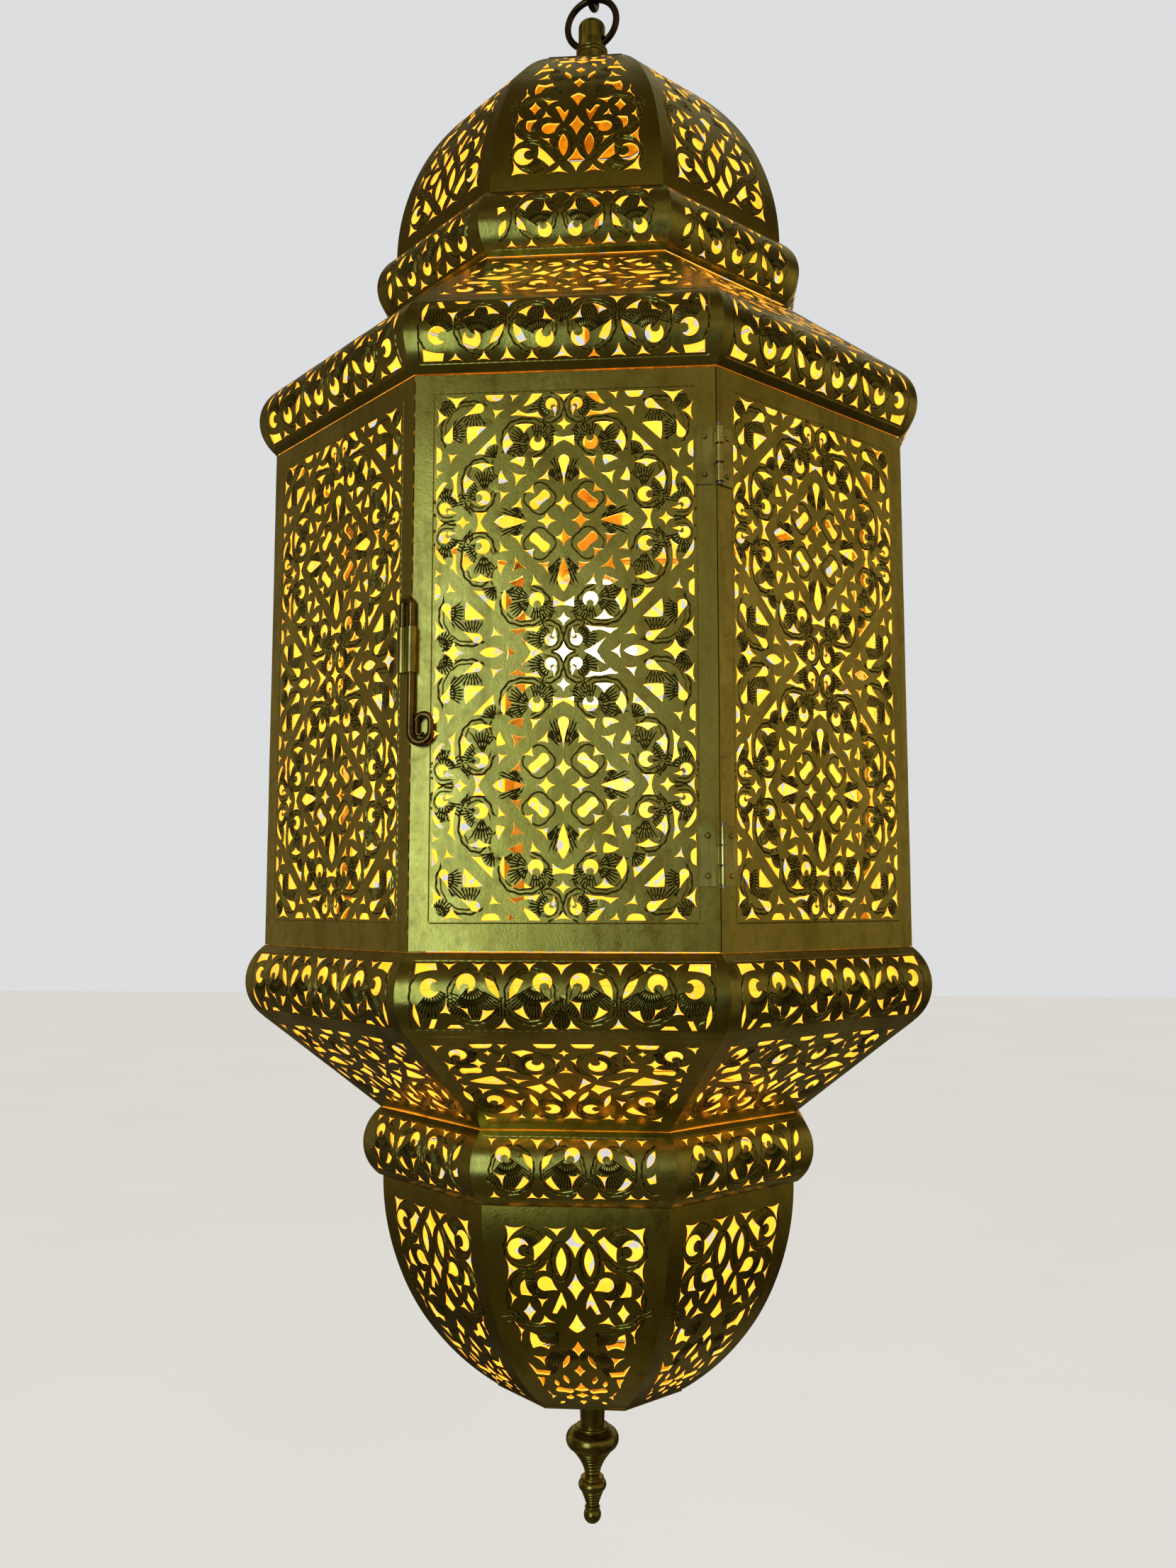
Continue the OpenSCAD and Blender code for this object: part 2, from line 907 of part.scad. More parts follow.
hanging_link();
chain_link();
suspension_ring();
stem();
crown_plate();
down_tube();
tube_nuts();
lampholder_cap();
lampholder_shell();
lampholder_insert();
bulb_cap();
bulb_glass();
for (i = [1:7])
    body_panel(i);
for (i = [1:8])
    top_gore(i - 1);
for (i = [1:8])
    bottom_gore(i - 1);
upper_band();
lower_band();
upper_slopes();
lower_slopes();
upper_collar();
lower_collar();
corner_strips();
frame_rings();
base_plate();
finial();
finial_stud();
finial_nut();
frame_leaf(1);  // upper_hinge_frame_leaf
frame_leaf(-1);  // lower_hinge_frame_leaf
hinge_pin(1);  // upper_hinge_pin
hinge_pin(-1);  // lower_hinge_pin
frame_rivets();
latch_keeper();
door_panel();
door_leaf(1);  // upper_hinge_door_leaf
door_leaf(-1);  // lower_hinge_door_leaf
door_rivets();
latch_sleeve();
latch_hairpin();
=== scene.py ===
"""Looks of a hanging eight-sided lantern of pierced sheet brass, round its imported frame."""

import math

import bpy
import numpy as np
from mathutils import Matrix, Vector, kdtree
from mathutils.geometry import delaunay_2d_cdt


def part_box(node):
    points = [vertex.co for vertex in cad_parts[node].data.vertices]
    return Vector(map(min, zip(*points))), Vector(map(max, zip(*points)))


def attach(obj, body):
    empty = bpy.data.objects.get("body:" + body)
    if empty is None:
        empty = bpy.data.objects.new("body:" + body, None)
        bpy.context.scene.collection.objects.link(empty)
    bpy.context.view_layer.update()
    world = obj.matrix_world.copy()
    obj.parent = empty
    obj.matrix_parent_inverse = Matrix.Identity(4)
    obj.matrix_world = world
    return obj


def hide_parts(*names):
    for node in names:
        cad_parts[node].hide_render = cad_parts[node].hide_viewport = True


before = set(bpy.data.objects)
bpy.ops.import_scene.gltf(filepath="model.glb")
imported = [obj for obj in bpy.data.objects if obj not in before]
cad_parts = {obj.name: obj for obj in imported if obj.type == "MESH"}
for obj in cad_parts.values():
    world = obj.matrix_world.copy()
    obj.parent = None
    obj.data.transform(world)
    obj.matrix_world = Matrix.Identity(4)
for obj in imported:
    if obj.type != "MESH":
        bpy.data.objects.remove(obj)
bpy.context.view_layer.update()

MM = 0.001
SIDES = 8
HALF_TAN = math.tan(math.pi / SIDES)


# ---- Sizes in millimetres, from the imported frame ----

def box_mm(node):
    low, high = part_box(node)
    return low / MM, high / MM


panel_low, panel_high = box_mm("body_panel_4")
door_low, door_high = box_mm("door_panel")
band_low, band_high = box_mm("upper_band")
slope_low, slope_high = box_mm("upper_slopes")
collar_low, collar_high = box_mm("upper_collar")
gore_low, gore_high = box_mm("top_gore_1")

MIDDLE = (panel_low.z + panel_high.z) / 2
MIDDLE_M = MIDDLE * MM
SHEET = door_high.y - door_low.y
BODY_APOTHEM = -door_low.y
SLOPE_FOOT_APOTHEM = slope_high.x
DOME_APOTHEM = -gore_low.y
GORE_RADIUS = 160.0
COLLAR_REST_APOTHEM = 125.0

# A body panel's pierced field: half its width, half a square's height, and its lift above the middle.
FIELD_HALF = 67.0
SQUARE_RISE = 68.2
FIELD_LIFT = 2.0
# The unit of its design.
THOUSANDTH = FIELD_HALF / 1000

# Half the gap between two sheets at their mitre.
SEAM = 0.05

# Distances between the points along cuts, grooves, a moulding's edge grooves and outlines.
CUT_STEP = 1.15
GROOVE_STEP = 0.85
EDGE_STEP = 0.9
OUTLINE_STEP = 2.4

# Kinds of chased groove: width and depth in millimetres, and how dark its dirt is.
STRAP = (1.2, 0.55, 1.0)
INNER_STRAP = (0.9, 0.35, 0.85)
PETAL = (1.0, 0.45, 0.95)
VEIN = (0.8, 0.3, 1.2)
EDGE_LINE = (0.9, 0.3, 0.8)
FIELD_LINE = (0.7, 0.22, 0.7)
# How dark a groove's shoulders are beside its bottom.
SHOULDER = 0.45
VEIN_PITCH = 1.7

# Ways to repeat a design: scales sideways and up.
ONCE = ((1, 1),)
MIRRORED = ((1, 1), (-1, 1))
FOUR_WAYS = ((1, 1), (-1, 1), (1, -1), (-1, -1))


# ---- Flat designs ----

def oval(x, y, rx, ry, turn):
    """Points of an oval at angles in radians."""
    return np.stack([x + rx * np.cos(turn), y + ry * np.sin(turn)], 1)


class Pattern:
    """Cut-outs and chased marks of a flat design. One unit of the design is unit millimetres."""

    def __init__(self, unit=1.0):
        self.unit = unit
        self.holes = []
        self.marks = []

    def _side(self, a, b, sag):
        """Points from a up to b, bowing to the right of the way by sag per cent of the length."""
        along = b - a
        length = math.hypot(*along)
        count = max(2, round(length * self.unit / CUT_STEP))
        t = np.arange(count)[:, None] / count
        right = np.array([along[1], -along[0]])
        return a + along * t + right * 4 * (sag / 100) * t * (1 - t)

    def plate(self, corners, sag=-10):
        """A hole with corners joined by bowed sides; a negative sag hollows them."""
        corners = np.array(corners, float)
        sags = sag if isinstance(sag, list) else [sag] * len(corners)
        x, y = corners.T
        if np.sum(x * np.roll(y, -1) - y * np.roll(x, -1)) < 0:
            corners = corners[::-1]
            sags = sags[:-1][::-1] + sags[-1:]
        ends = np.roll(corners, -1, axis=0)
        self.holes.append(np.vstack([self._side(a, b, s) for a, b, s in zip(corners, ends, sags)]))
        return self

    def plates(self, *holes):
        for corners in holes:
            self.plate(corners)

    def kite(self, x, y, half_width, above, below, sag=-6):
        self.plate([(x + half_width, y), (x, y + above), (x - half_width, y), (x, y - below)], sag)

    def star(self, x, y, across, up=None):
        self.kite(x, y, across, up or across, up or across, -16)

    def lens(self, start, end, width):
        """A pointed oval between two points."""
        self.plate([start, end], 50 * width / math.dist(start, end))

    def drop(self, blob, radius, tip, sag=-4):
        """A round blob that runs out to a tip."""
        blob, tip = np.array(blob, float), np.array(tip, float)
        way = tip - blob
        heading = math.atan2(way[1], way[0])
        open_half = math.acos(min(0.95, radius / math.hypot(*way)))
        count = max(8, round(2 * (math.pi - open_half) * radius * self.unit / CUT_STEP))
        turn = heading + open_half + (2 * math.pi - 2 * open_half) * np.arange(count + 1) / count
        arc = oval(*blob, radius, radius, turn)
        home = self._side(arc[-1], tip, sag)[1:]
        away = self._side(tip, arc[0], sag)
        self.holes.append(np.vstack([arc, home, away]))

    def crescent(self, x, y, radius, towards, bite=0.56, shift=0.62):
        """A disc with a smaller round bite out of it, on the side that towards says, in degrees."""
        inner = radius * bite
        apart = radius * shift
        reach = (radius ** 2 + apart ** 2 - inner ** 2) / (2 * apart)
        outer_half = math.acos(reach / radius)
        inner_half = math.acos((apart - reach) / inner)
        heading = math.radians(towards)
        count = max(10, round(2 * (math.pi - outer_half) * radius * self.unit / CUT_STEP))
        turn = heading + outer_half + (2 * math.pi - 2 * outer_half) * np.arange(count) / count
        outer = oval(0, 0, radius, radius, turn)
        count = max(5, round(2 * (math.pi - inner_half) * inner * self.unit / CUT_STEP))
        turn = heading + math.pi + inner_half * (1 - 2 * np.arange(count) / count)
        bitten = oval(apart * math.cos(heading), apart * math.sin(heading), inner, inner, turn)
        self.holes.append(np.array([x, y]) + np.vstack([outer, bitten]))

    def peanut(self, x, y, half_length, radius, turn, waist=0.6):
        """Two round lobes joined by a waist."""
        turn = math.radians(turn)
        angle = np.linspace(0, 2 * math.pi, 28, endpoint=False)
        across = 1.35 * radius * np.sin(angle) * (waist + 2 * (1 - waist) * np.cos(angle) ** 2)
        along = half_length * np.cos(angle)
        c, s = math.cos(turn), math.sin(turn)
        self.holes.append(np.stack([x + along * c - across * s, y + along * s + across * c], 1))

    def line(self, points, groove, wobble=0.0):
        """A chased groove along points about a millimetre apart, with its wobble in millimetres."""
        width, depth, dark = groove
        points = np.array(points, float)
        ahead = np.gradient(points, axis=0)
        ahead /= np.maximum(np.hypot(*ahead.T)[:, None], 1e-9)
        side = np.stack([-ahead[:, 1], ahead[:, 0]], 1)
        k = np.arange(len(points))
        sway = wobble * (np.sin(k * 0.9) + 0.7 * np.sin(k * 0.37 + 1.3)) / self.unit
        points = points + side * sway[:, None]
        # The punch's blows leave the groove deeper and darker in places.
        beat = 0.85 + 0.15 * np.cos(k * 1.35)
        for offset, drop, shade in ((0, -depth, dark), (0.5, 0, SHOULDER), (-0.5, 0, SHOULDER)):
            row = points + side * (offset * width / self.unit)
            self.marks.append(np.column_stack([row, drop * beat, shade * dark * beat]))

    def rule(self, start, end, level, groove, step, upright=False):
        """A straight groove from start to end, across the design at a level, or up it."""
        run = np.arange(start, end, step)
        fixed = np.full_like(run, level)
        self.line(np.column_stack([fixed, run] if upright else [run, fixed]), groove)

    def arc(self, x, y, rx, ry, start, end, groove, wobble=0.15):
        """A chased groove along part of an oval, angles in degrees."""
        length = math.radians(abs(end - start)) * (rx + ry) / 2 * self.unit
        turn = np.radians(np.linspace(start, end, max(4, round(length / GROOVE_STEP))))
        self.line(oval(x, y, rx, ry, turn), groove, wobble)

    def ring(self, x, y, rx, ry, start=0, end=360, strap=2.2):
        """A scroll's strap: a deep wavering groove outside and a lighter one inside."""
        inset = strap / self.unit
        self.arc(x, y, rx, ry, start, end, STRAP, 0.25)
        self.arc(x, y, rx - inset, ry - inset, start, end, INNER_STRAP)

    def fan(self, x, y, near, far, start, end):
        """Veins that spread from a point, angles in degrees: narrow grooves between broad ridges."""
        count = max(3, round(math.radians(abs(end - start)) * far * self.unit / VEIN_PITCH))
        samples = max(4, round((far - near) * self.unit / GROOVE_STEP))
        for k, turn in enumerate(np.radians(np.linspace(start, end, count + 1))):
            # Every second vein stops short of the point, where the leaf has no room for it.
            root = near + (far - near) * 0.35 * (k % 2)
            r = np.linspace(root, far, samples)
            self.line(oval(x, y, r, r, turn), VEIN)

    def fans(self, *fans):
        for fan in fans:
            self.fan(*fan)

    def include(self, other, scales=ONCE, offset=(0, 0)):
        """Adds another design, once for each pair of scales, and moved by offset."""
        for scale in scales:
            self.holes += [h * scale + offset for h in other.holes]
            self.marks += [m * (*scale, 1, 1) + (*offset, 0, 0) for m in other.marks]
        return self

    def copies(self, scales=ONCE, offset=(0, 0)):
        """The design in a new one, once for each pair of scales, and moved by offset."""
        return Pattern(self.unit).include(self, scales, offset)


def body_square():
    """One of the two squares up a body panel, drawn for a quarter in thousandths of its half width."""
    q = Pattern(THOUSANDTH)
    # Heart of the square.
    q.peanut(185, 165, 88, 40, -42)
    q.plates([(115, 410), (112, 315), (205, 320)], [(410, 105), (318, 102), (330, 188)],
             [(235, 288), (225, 212), (310, 222)])
    for k in range(4):
        turn = k * 1.57
        q.arc(185 + 45 * math.cos(turn), 175 + 45 * math.sin(turn), 78, 78,
              90 * k - 62, 90 * k + 62, PETAL, 0.1)
    q.fans((0, 260, 70, 225, 64, 84), (0, 260, 70, 160, 44, 62), (260, 0, 70, 225, 6, 26),
           (260, 0, 70, 160, 28, 46))
    # Outside the inner strap.
    q.plates([(160, 500), (250, 495), (236, 408)], [(420, 228), (496, 236), (494, 147)],
             [(283, 363), (396, 382), (375, 272)])
    q.plate([(302, 497), (418, 466), (318, 422)], [12, -5, 10])
    q.plate([(484, 402), (434, 312), (503, 296)], [-5, 5, 12])
    q.arc(440, 435, 115, 115, -70, 20, PETAL)
    q.arc(440, 435, 115, 115, 75, 165, PETAL)
    q.fan(520, 500, 10, 85, 10, 90)
    # Upright scroll.
    q.plate([(235, 752), (385, 748), (310, 686)], [6, -12, -12])
    q.plate([(437, 695), (392, 610), (452, 525)], [-8, -6, 18])
    q.crescent(205, 605, 58, 95)
    q.fans((205, 612, 64, 135, 72, 175), (262, 605, 45, 155, 12, 70), (262, 595, 45, 145, -52, 2))
    q.ring(295, 645, 190, 158, -60, 250)
    # Lying scroll.
    q.plate([(545, 438), (715, 438), (637, 400)], [13, -10, -10])
    q.plate([(763, 375), (762, 222), (694, 315)], [12, -10, -8])
    q.crescent(625, 188, 58, -2)
    q.fans((635, 192, 64, 132, -12, 62), (615, 245, 45, 150, 60, 128))
    q.ring(655, 285, 138, 207, -160, 160)
    # Between the scrolls and the outer strap.
    q.plate([(532, 682), (522, 610), (590, 585), (618, 528), (690, 526)], [-5, -8, -8, -5, 0])
    # Beside the axes.
    q.crescent(98, 910, 45, -120, 0.5, 0.66)
    q.drop((72, 872), 16, (66, 815))
    q.fan(100, 900, 55, 150, -72, 38)
    q.ring(115, 885, 112, 118, 95, 290)
    q.crescent(922, 112, 45, -150, 0.5, 0.66)
    q.drop((882, 82), 16, (826, 78))
    q.fan(910, 120, 55, 140, 62, 170)
    q.ring(895, 118, 118, 112, -110, 70)
    wavy = [-5, -6, -6, -5, -4, -4]
    q.plate([(168, 802), (205, 852), (285, 838), (355, 870), (418, 828), (292, 818)], wavy)
    q.plate([(820, 405), (875, 350), (853, 280), (872, 208), (812, 160), (832, 285)], wavy)
    q.fans((55, 705, 0, 75, -30, 40), (715, 55, 0, 80, 50, 115))
    # Outside the outer strap.
    q.plates([(460, 880), (555, 878), (537, 806)], [(828, 535), (902, 538), (883, 460)])
    q.plate([(604, 742), (752, 746), (746, 612)], [4, 5, 0])
    q.drop((662, 892), 38, (778, 834))
    q.drop((902, 655), 36, (866, 762))
    q.fans((700, 885, 55, 125, 235, 322), (905, 690, 50, 120, 120, 212), (950, 950, 15, 120, 170, 285))
    q.ring(735, 715, 222, 235, -30, 122)
    # Along the border.
    q.plates([(750, 992), (920, 992), (842, 897)], [(992, 750), (992, 900), (910, 828)],
             [(340, 994), (420, 992), (404, 936)], [(940, 394), (993, 420), (993, 355)])
    q.plate([(170, 993), (252, 992), (318, 900), (290, 903)], [0, -5, 0, 8])
    q.plate([(905, 315), (932, 317), (993, 235), (993, 165)], [0, 8, 0, -4])
    q.fan(930, 270, 0, 60, 190, 300)
    square = q.copies(FOUR_WAYS)
    # On the axes.
    axis = Pattern(THOUSANDTH)
    axis.star(0, 130, 62, 70)
    bent = [-4, -4, -5, -4, -4, -5]
    axis.plate([(-83, 578), (0, 628), (83, 578), (80, 662), (0, 648), (-80, 662)], bent)
    axis.star(0, 752, 54, 50)
    square.include(axis, ((1, 1), (1, -1)))
    axis = Pattern(THOUSANDTH)
    axis.star(130, 0, 70, 62)
    axis.plate([(592, -78), (645, 0), (592, 78), (682, 76), (662, 0), (682, -76)], bent)
    axis.plate([(285, 0), (465, 50), (535, 0), (465, -50)], [3, 6, 6, 3])
    axis.star(782, 0, 56, 52)
    axis.plate([(930, 0), (993, 68), (993, -68)])
    square.include(axis, MIRRORED)
    end = Pattern(THOUSANDTH)
    end.drop((0, 468), 43, (0, 270))
    end.plate([(0, -285), (48, -455), (0, -545), (-48, -455)], [3, 6, 6, 3])
    return square.include(end)


def panel_pattern():
    """Both squares of a body panel, with the row of holes where they meet, in millimetres."""
    whole = Pattern()
    # Marks and holes that would cross the line where the squares meet are joined there instead.
    clear = 0.03 * SQUARE_RISE
    for side in (1, -1):
        square = body_square()
        beside_end = Pattern(THOUSANDTH).plate([(470, 993), (615, 993), (545, 945)], [0, 22, 22])
        square.include(beside_end, ((1, side), (-1, side)))
        at_end = Pattern(THOUSANDTH).plate([(-70, 993), (70, 993), (0, 930)])
        square.include(at_end, ((1, side),))
        at_side = Pattern(THOUSANDTH).plate([(993, 465), (993, 595), (952, 530)], [0, 22, 22])
        square.include(at_side, FOUR_WAYS)
        placed = square.copies(((THOUSANDTH, SQUARE_RISE / 1000),), (0, side * SQUARE_RISE))
        whole.holes += [h for h in placed.holes if np.min(h[:, 1] * side) > clear]
        whole.marks += [m[m[:, 1] * side > 0.4] for m in placed.marks]
    seam = Pattern(THOUSANDTH)
    seam.star(845, 0, 90, 82)
    seam.lens((460, 0), (645, 0), 80)
    seam.plate([(435, 55), (360, 0), (435, -55)])
    seam.plate([(158, 0), (325, 105), (250, 0), (325, -105)], [-2, -4, -4, -2])
    seam.fans((930, 0, 0, 100, 100, 175), (930, 0, 0, 100, 185, 260))
    row = seam.copies(MIRRORED)
    row.star(0, 0, 75)
    return whole.include(row, ((THOUSANDTH, THOUSANDTH),))


# ---- From a flat design to a pierced sheet ----

# The least distances between a sheet's points, and the grid of its plain parts.
MARK_TO_CUT = 0.45
MARK_TO_MARK = 0.34
PLAIN_TO_CUT = 0.9
PLAIN_TO_MARK = 1.0
PLAIN_GRID = 3.2

# How dark the dirt is on plain metal, at the rims of the holes and on the back.
PLAIN_DARK = 0.12
RIM_DARK = 0.3
BACK_DARK = 0.1

# Faces at more than this angle meet in a crisp line.
CRISP = math.radians(20)

# How far a sheet sits back from true, and how far its beaten waves stray from that.
SET_BACK = 0.3
BEATEN = 0.1


def inside(points, loops):
    """Which points lie inside any of the loops."""
    found = np.zeros(len(points), bool)
    order = np.argsort(points[:, 0])
    xs = points[order, 0]
    for loop in loops:
        low, high = loop.min(0), loop.max(0)
        a, b = np.searchsorted(xs, (low[0], high[0]))
        ids = order[a:b]
        ids = ids[(points[ids, 1] >= low[1]) & (points[ids, 1] <= high[1])]
        px, py = points[ids, 0][:, None], points[ids, 1][:, None]
        x0, y0 = loop[:, 0], loop[:, 1]
        x1, y1 = np.roll(x0, -1), np.roll(y0, -1)
        crosses = (y0 > py) != (y1 > py)
        rise = np.where(y1 == y0, 1e-12, y1 - y0)
        hits = crosses & (px < (x1 - x0) * (py - y0) / rise + x0)
        found[ids] |= hits.sum(1) % 2 == 1
    return found


def in_metal(points, outline, holes):
    """Which points lie inside the outline and in none of the holes."""
    return inside(points, [outline]) & ~inside(points, holes)


def tree_of(points):
    tree = kdtree.KDTree(len(points))
    for k, (x, y) in enumerate(points):
        tree.insert((x, y, 0), k)
    tree.balance()
    return tree


def clear_of(tree, points, gap):
    return np.array([tree.find((x, y, 0))[2] > gap for x, y in points], bool)


def spread(marks, gap):
    """Marks in order, without those closer than gap to one already kept."""
    kept, cells = [], {}
    for k, (x, y) in enumerate(marks[:, :2]):
        cx, cy = int(x // gap), int(y // gap)
        near = (cells.get((cx + i, cy + j)) for i in (-1, 0, 1) for j in (-1, 0, 1))
        if any(n is not None and (n[0] - x) ** 2 + (n[1] - y) ** 2 < gap * gap for n in near):
            continue
        cells[cx, cy] = (x, y)
        kept.append(k)
    return marks[kept]


def filled(outline, holes, loose):
    """Triangles of the sheet between its outline and its holes, through loose points."""
    loops = [outline] + holes
    points = np.vstack(loops + [loose])
    edges, start = [], 0
    for loop in loops:
        n = len(loop)
        edges += [(start + k, start + (k + 1) % n) for k in range(n)]
        start += n
    made = delaunay_2d_cdt([Vector(p) for p in points], edges, [], 0, 1e-5, True)
    flat = np.array([tuple(v) for v in made[0]])
    tris = np.array([f for f in made[2] if len(f) == 3])
    source = np.array([ids[0] if ids else -1 for ids in made[3]])
    tris = tris[in_metal(flat[tris].mean(1), outline, holes)]
    a, b, c = flat[tris[:, 0]], flat[tris[:, 1]], flat[tris[:, 2]]
    turned = (b[:, 0] - a[:, 0]) * (c[:, 1] - a[:, 1]) - (b[:, 1] - a[:, 1]) * (c[:, 0] - a[:, 0]) < 0
    tris[turned] = tris[turned][:, ::-1]
    return flat, tris, source


def rim_edges(tris):
    """Directed edges that only one triangle has."""
    sides = np.vstack([tris[:, [0, 1]], tris[:, [1, 2]], tris[:, [2, 0]]])
    key = np.sort(sides, 1)
    code = key[:, 0].astype(np.int64) * (1 << 32) + key[:, 1]
    _, first, count = np.unique(code, return_index=True, return_counts=True)
    return sides[first[count == 1]]


def hand_beaten(points):
    """How high the beaten sheet lies over its true surface, in millimetres."""
    x, y = points.T
    waves = np.sin(x * 0.061 + 0.8) * np.sin(y * 0.047 + 0.3) + 0.5 * np.sin(x * 0.13 + y * 0.09)
    return -SET_BACK + BEATEN * waves


def triangle_mesh(name, points, faces, slots, patina):
    """A mesh of triangles, with a material slot for each and a darkness for each point."""
    mesh = bpy.data.meshes.new(name)
    mesh.vertices.add(len(points))
    mesh.vertices.foreach_set("co", points.astype(np.float32).ravel())
    mesh.loops.add(faces.size)
    mesh.loops.foreach_set("vertex_index", faces.astype(np.int32).ravel())
    mesh.polygons.add(len(faces))
    mesh.polygons.foreach_set("loop_start", np.arange(0, faces.size, 3, dtype=np.int32))
    mesh.polygons.foreach_set("material_index", slots.astype(np.int32))
    mesh.polygons.foreach_set("use_smooth", np.ones(len(faces), bool))
    mesh.update(calc_edges=True)
    mesh.set_sharp_from_angle(angle=CRISP)
    tint = mesh.attributes.new("patina", "FLOAT", "POINT")
    tint.data.foreach_set("value", patina.astype(np.float32))
    return mesh


def pierced_sheet(name, outline, design, surface, outside):
    """A closed mesh of a pierced sheet: its chased front, its plain back and the walls of its cuts."""
    holes = design.holes
    rims = np.vstack([outline] + holes)
    rim_tree = tree_of(rims)
    marks = np.vstack([m for m in design.marks if len(m)])
    marks = marks[in_metal(marks[:, :2], outline, holes)]
    marks = spread(marks[clear_of(rim_tree, marks[:, :2], MARK_TO_CUT)], MARK_TO_MARK)
    low, high = outline.min(0), outline.max(0)
    grid = np.meshgrid(np.arange(low[0], high[0], PLAIN_GRID), np.arange(low[1], high[1], PLAIN_GRID))
    plain = np.column_stack([g.ravel() for g in grid])
    plain = plain[in_metal(plain, outline, holes)]
    plain = plain[clear_of(rim_tree, plain, PLAIN_TO_CUT)]
    between = plain[clear_of(tree_of(marks[:, :2]), plain, PLAIN_TO_MARK)]
    flat, tris, source = filled(outline, holes, np.vstack([marks[:, :2], between]))
    height = np.zeros(len(flat))
    patina = np.full(len(flat), PLAIN_DARK)
    chased = (source >= len(rims)) & (source < len(rims) + len(marks))
    height[chased] = marks[source[chased] - len(rims), 2]
    patina[chased] = marks[source[chased] - len(rims), 3]
    patina[(source >= len(outline)) & (source < len(rims))] = RIM_DARK
    # The walls run to the point of the back behind each point of the rims.
    back_flat, back_tris, _ = filled(outline, holes, plain)
    rim = rim_edges(tris)
    back_tree = tree_of(back_flat)
    twin = {v: back_tree.find((*flat[v], 0))[1] + len(flat) for v in np.unique(rim)}
    outer_points = np.flatnonzero((source >= 0) & (source < len(outline)))
    walls, walls_with_painted_glow = [], []
    for (a, b), outer in zip(rim, np.isin(rim, outer_points).all(1)):
        walls += [(b, a, twin[a]), (b, twin[a], twin[b])]
        walls_with_painted_glow += [not outer] * 2
    both = np.vstack([flat, back_flat])
    depth = np.concatenate([height, np.full(len(back_flat), -SHEET)]) + hand_beaten(both)
    faces = np.vstack([tris, back_tris[:, ::-1] + len(flat), np.array(walls)])
    # The back and the walls of the holes have the inner material, with its painted glow of bulb light;
    # the walls of the outline keep the outer one.
    slots = np.concatenate([np.zeros(len(tris), int), np.ones(len(back_tris), int), np.array(walls_with_painted_glow, int)])
    patina = np.concatenate([patina, np.full(len(back_flat), BACK_DARK)])
    mesh = triangle_mesh(name, surface(both, depth) * MM, faces, slots, patina)
    mesh.materials.append(MATERIALS[outside])
    mesh.materials.append(MATERIALS["inside"])
    return mesh


# ---- Surfaces that a flat design is carried onto. Each face looks along +X, with Z up. ----

def wall_surface(profile, mitred=True):
    """A map from (sideways, along the profile) and depth to a face's own frame."""
    def surface(flat, depth):
        r, z, nr, nz = profile(flat[:, 1])
        stretch = (r + depth * nr) / r if mitred else 1.0
        return np.column_stack([r + depth * nr, flat[:, 0] * stretch, z + depth * nz])
    return surface


def straight_profile(foot, head):
    """A straight section from foot to head, each (distance from the axis, height), and its length."""
    foot, head = np.array(foot, float), np.array(head, float)
    length = math.dist(foot, head)
    way = (head - foot) / length

    def profile(s):
        return (foot[0] + way[0] * s, foot[1] + way[1] * s,
                np.full_like(s, way[1]), np.full_like(s, -way[0]))
    return profile, length


def arc_profile(centre, radius, start, end):
    """A round section about centre, between two angles in radians, and its length."""
    def profile(s):
        turn = start + s / radius
        return (centre[0] + radius * np.cos(turn), centre[1] + radius * np.sin(turn),
                np.cos(turn), np.sin(turn))
    return profile, radius * (end - start)


def wedge_outline(profile, length):
    """The outline of one face between its two mitres."""
    s = np.linspace(0, length, max(2, round(length / OUTLINE_STEP)) + 1)
    ends = profile(s)[0] * HALF_TAN - SEAM
    foot = np.arange(-ends[0], ends[0], OUTLINE_STEP)[1:]
    head = np.arange(-ends[-1], ends[-1], OUTLINE_STEP)[1:][::-1]
    right = np.column_stack([ends, s])
    left = np.column_stack([-ends, s])[::-1]
    return np.vstack([np.column_stack([foot, np.zeros_like(foot)]), right,
                      np.column_stack([head, np.full_like(head, length)]), left])


def box_outline(x0, x1, y0, y1):
    corners = [np.array(c, float) for c in ((x0, y0), (x1, y0), (x1, y1), (x0, y1))]
    sides = []
    for a, b in zip(corners, corners[1:] + corners[:1]):
        t = np.arange(0, 1, OUTLINE_STEP / math.dist(a, b))[:, None]
        sides.append(a + (b - a) * t)
    return np.vstack(sides)


def on_face(index, upturned=False):
    turn = Matrix.Rotation(math.radians(45 * index - 90), 4, "Z")
    flip = Matrix.Rotation(math.pi, 4, "X") if upturned else Matrix.Identity(4)
    return Matrix.Translation((0, 0, MIDDLE_M)) @ turn @ flip


# ---- Designs of the other faces, in millimetres ----

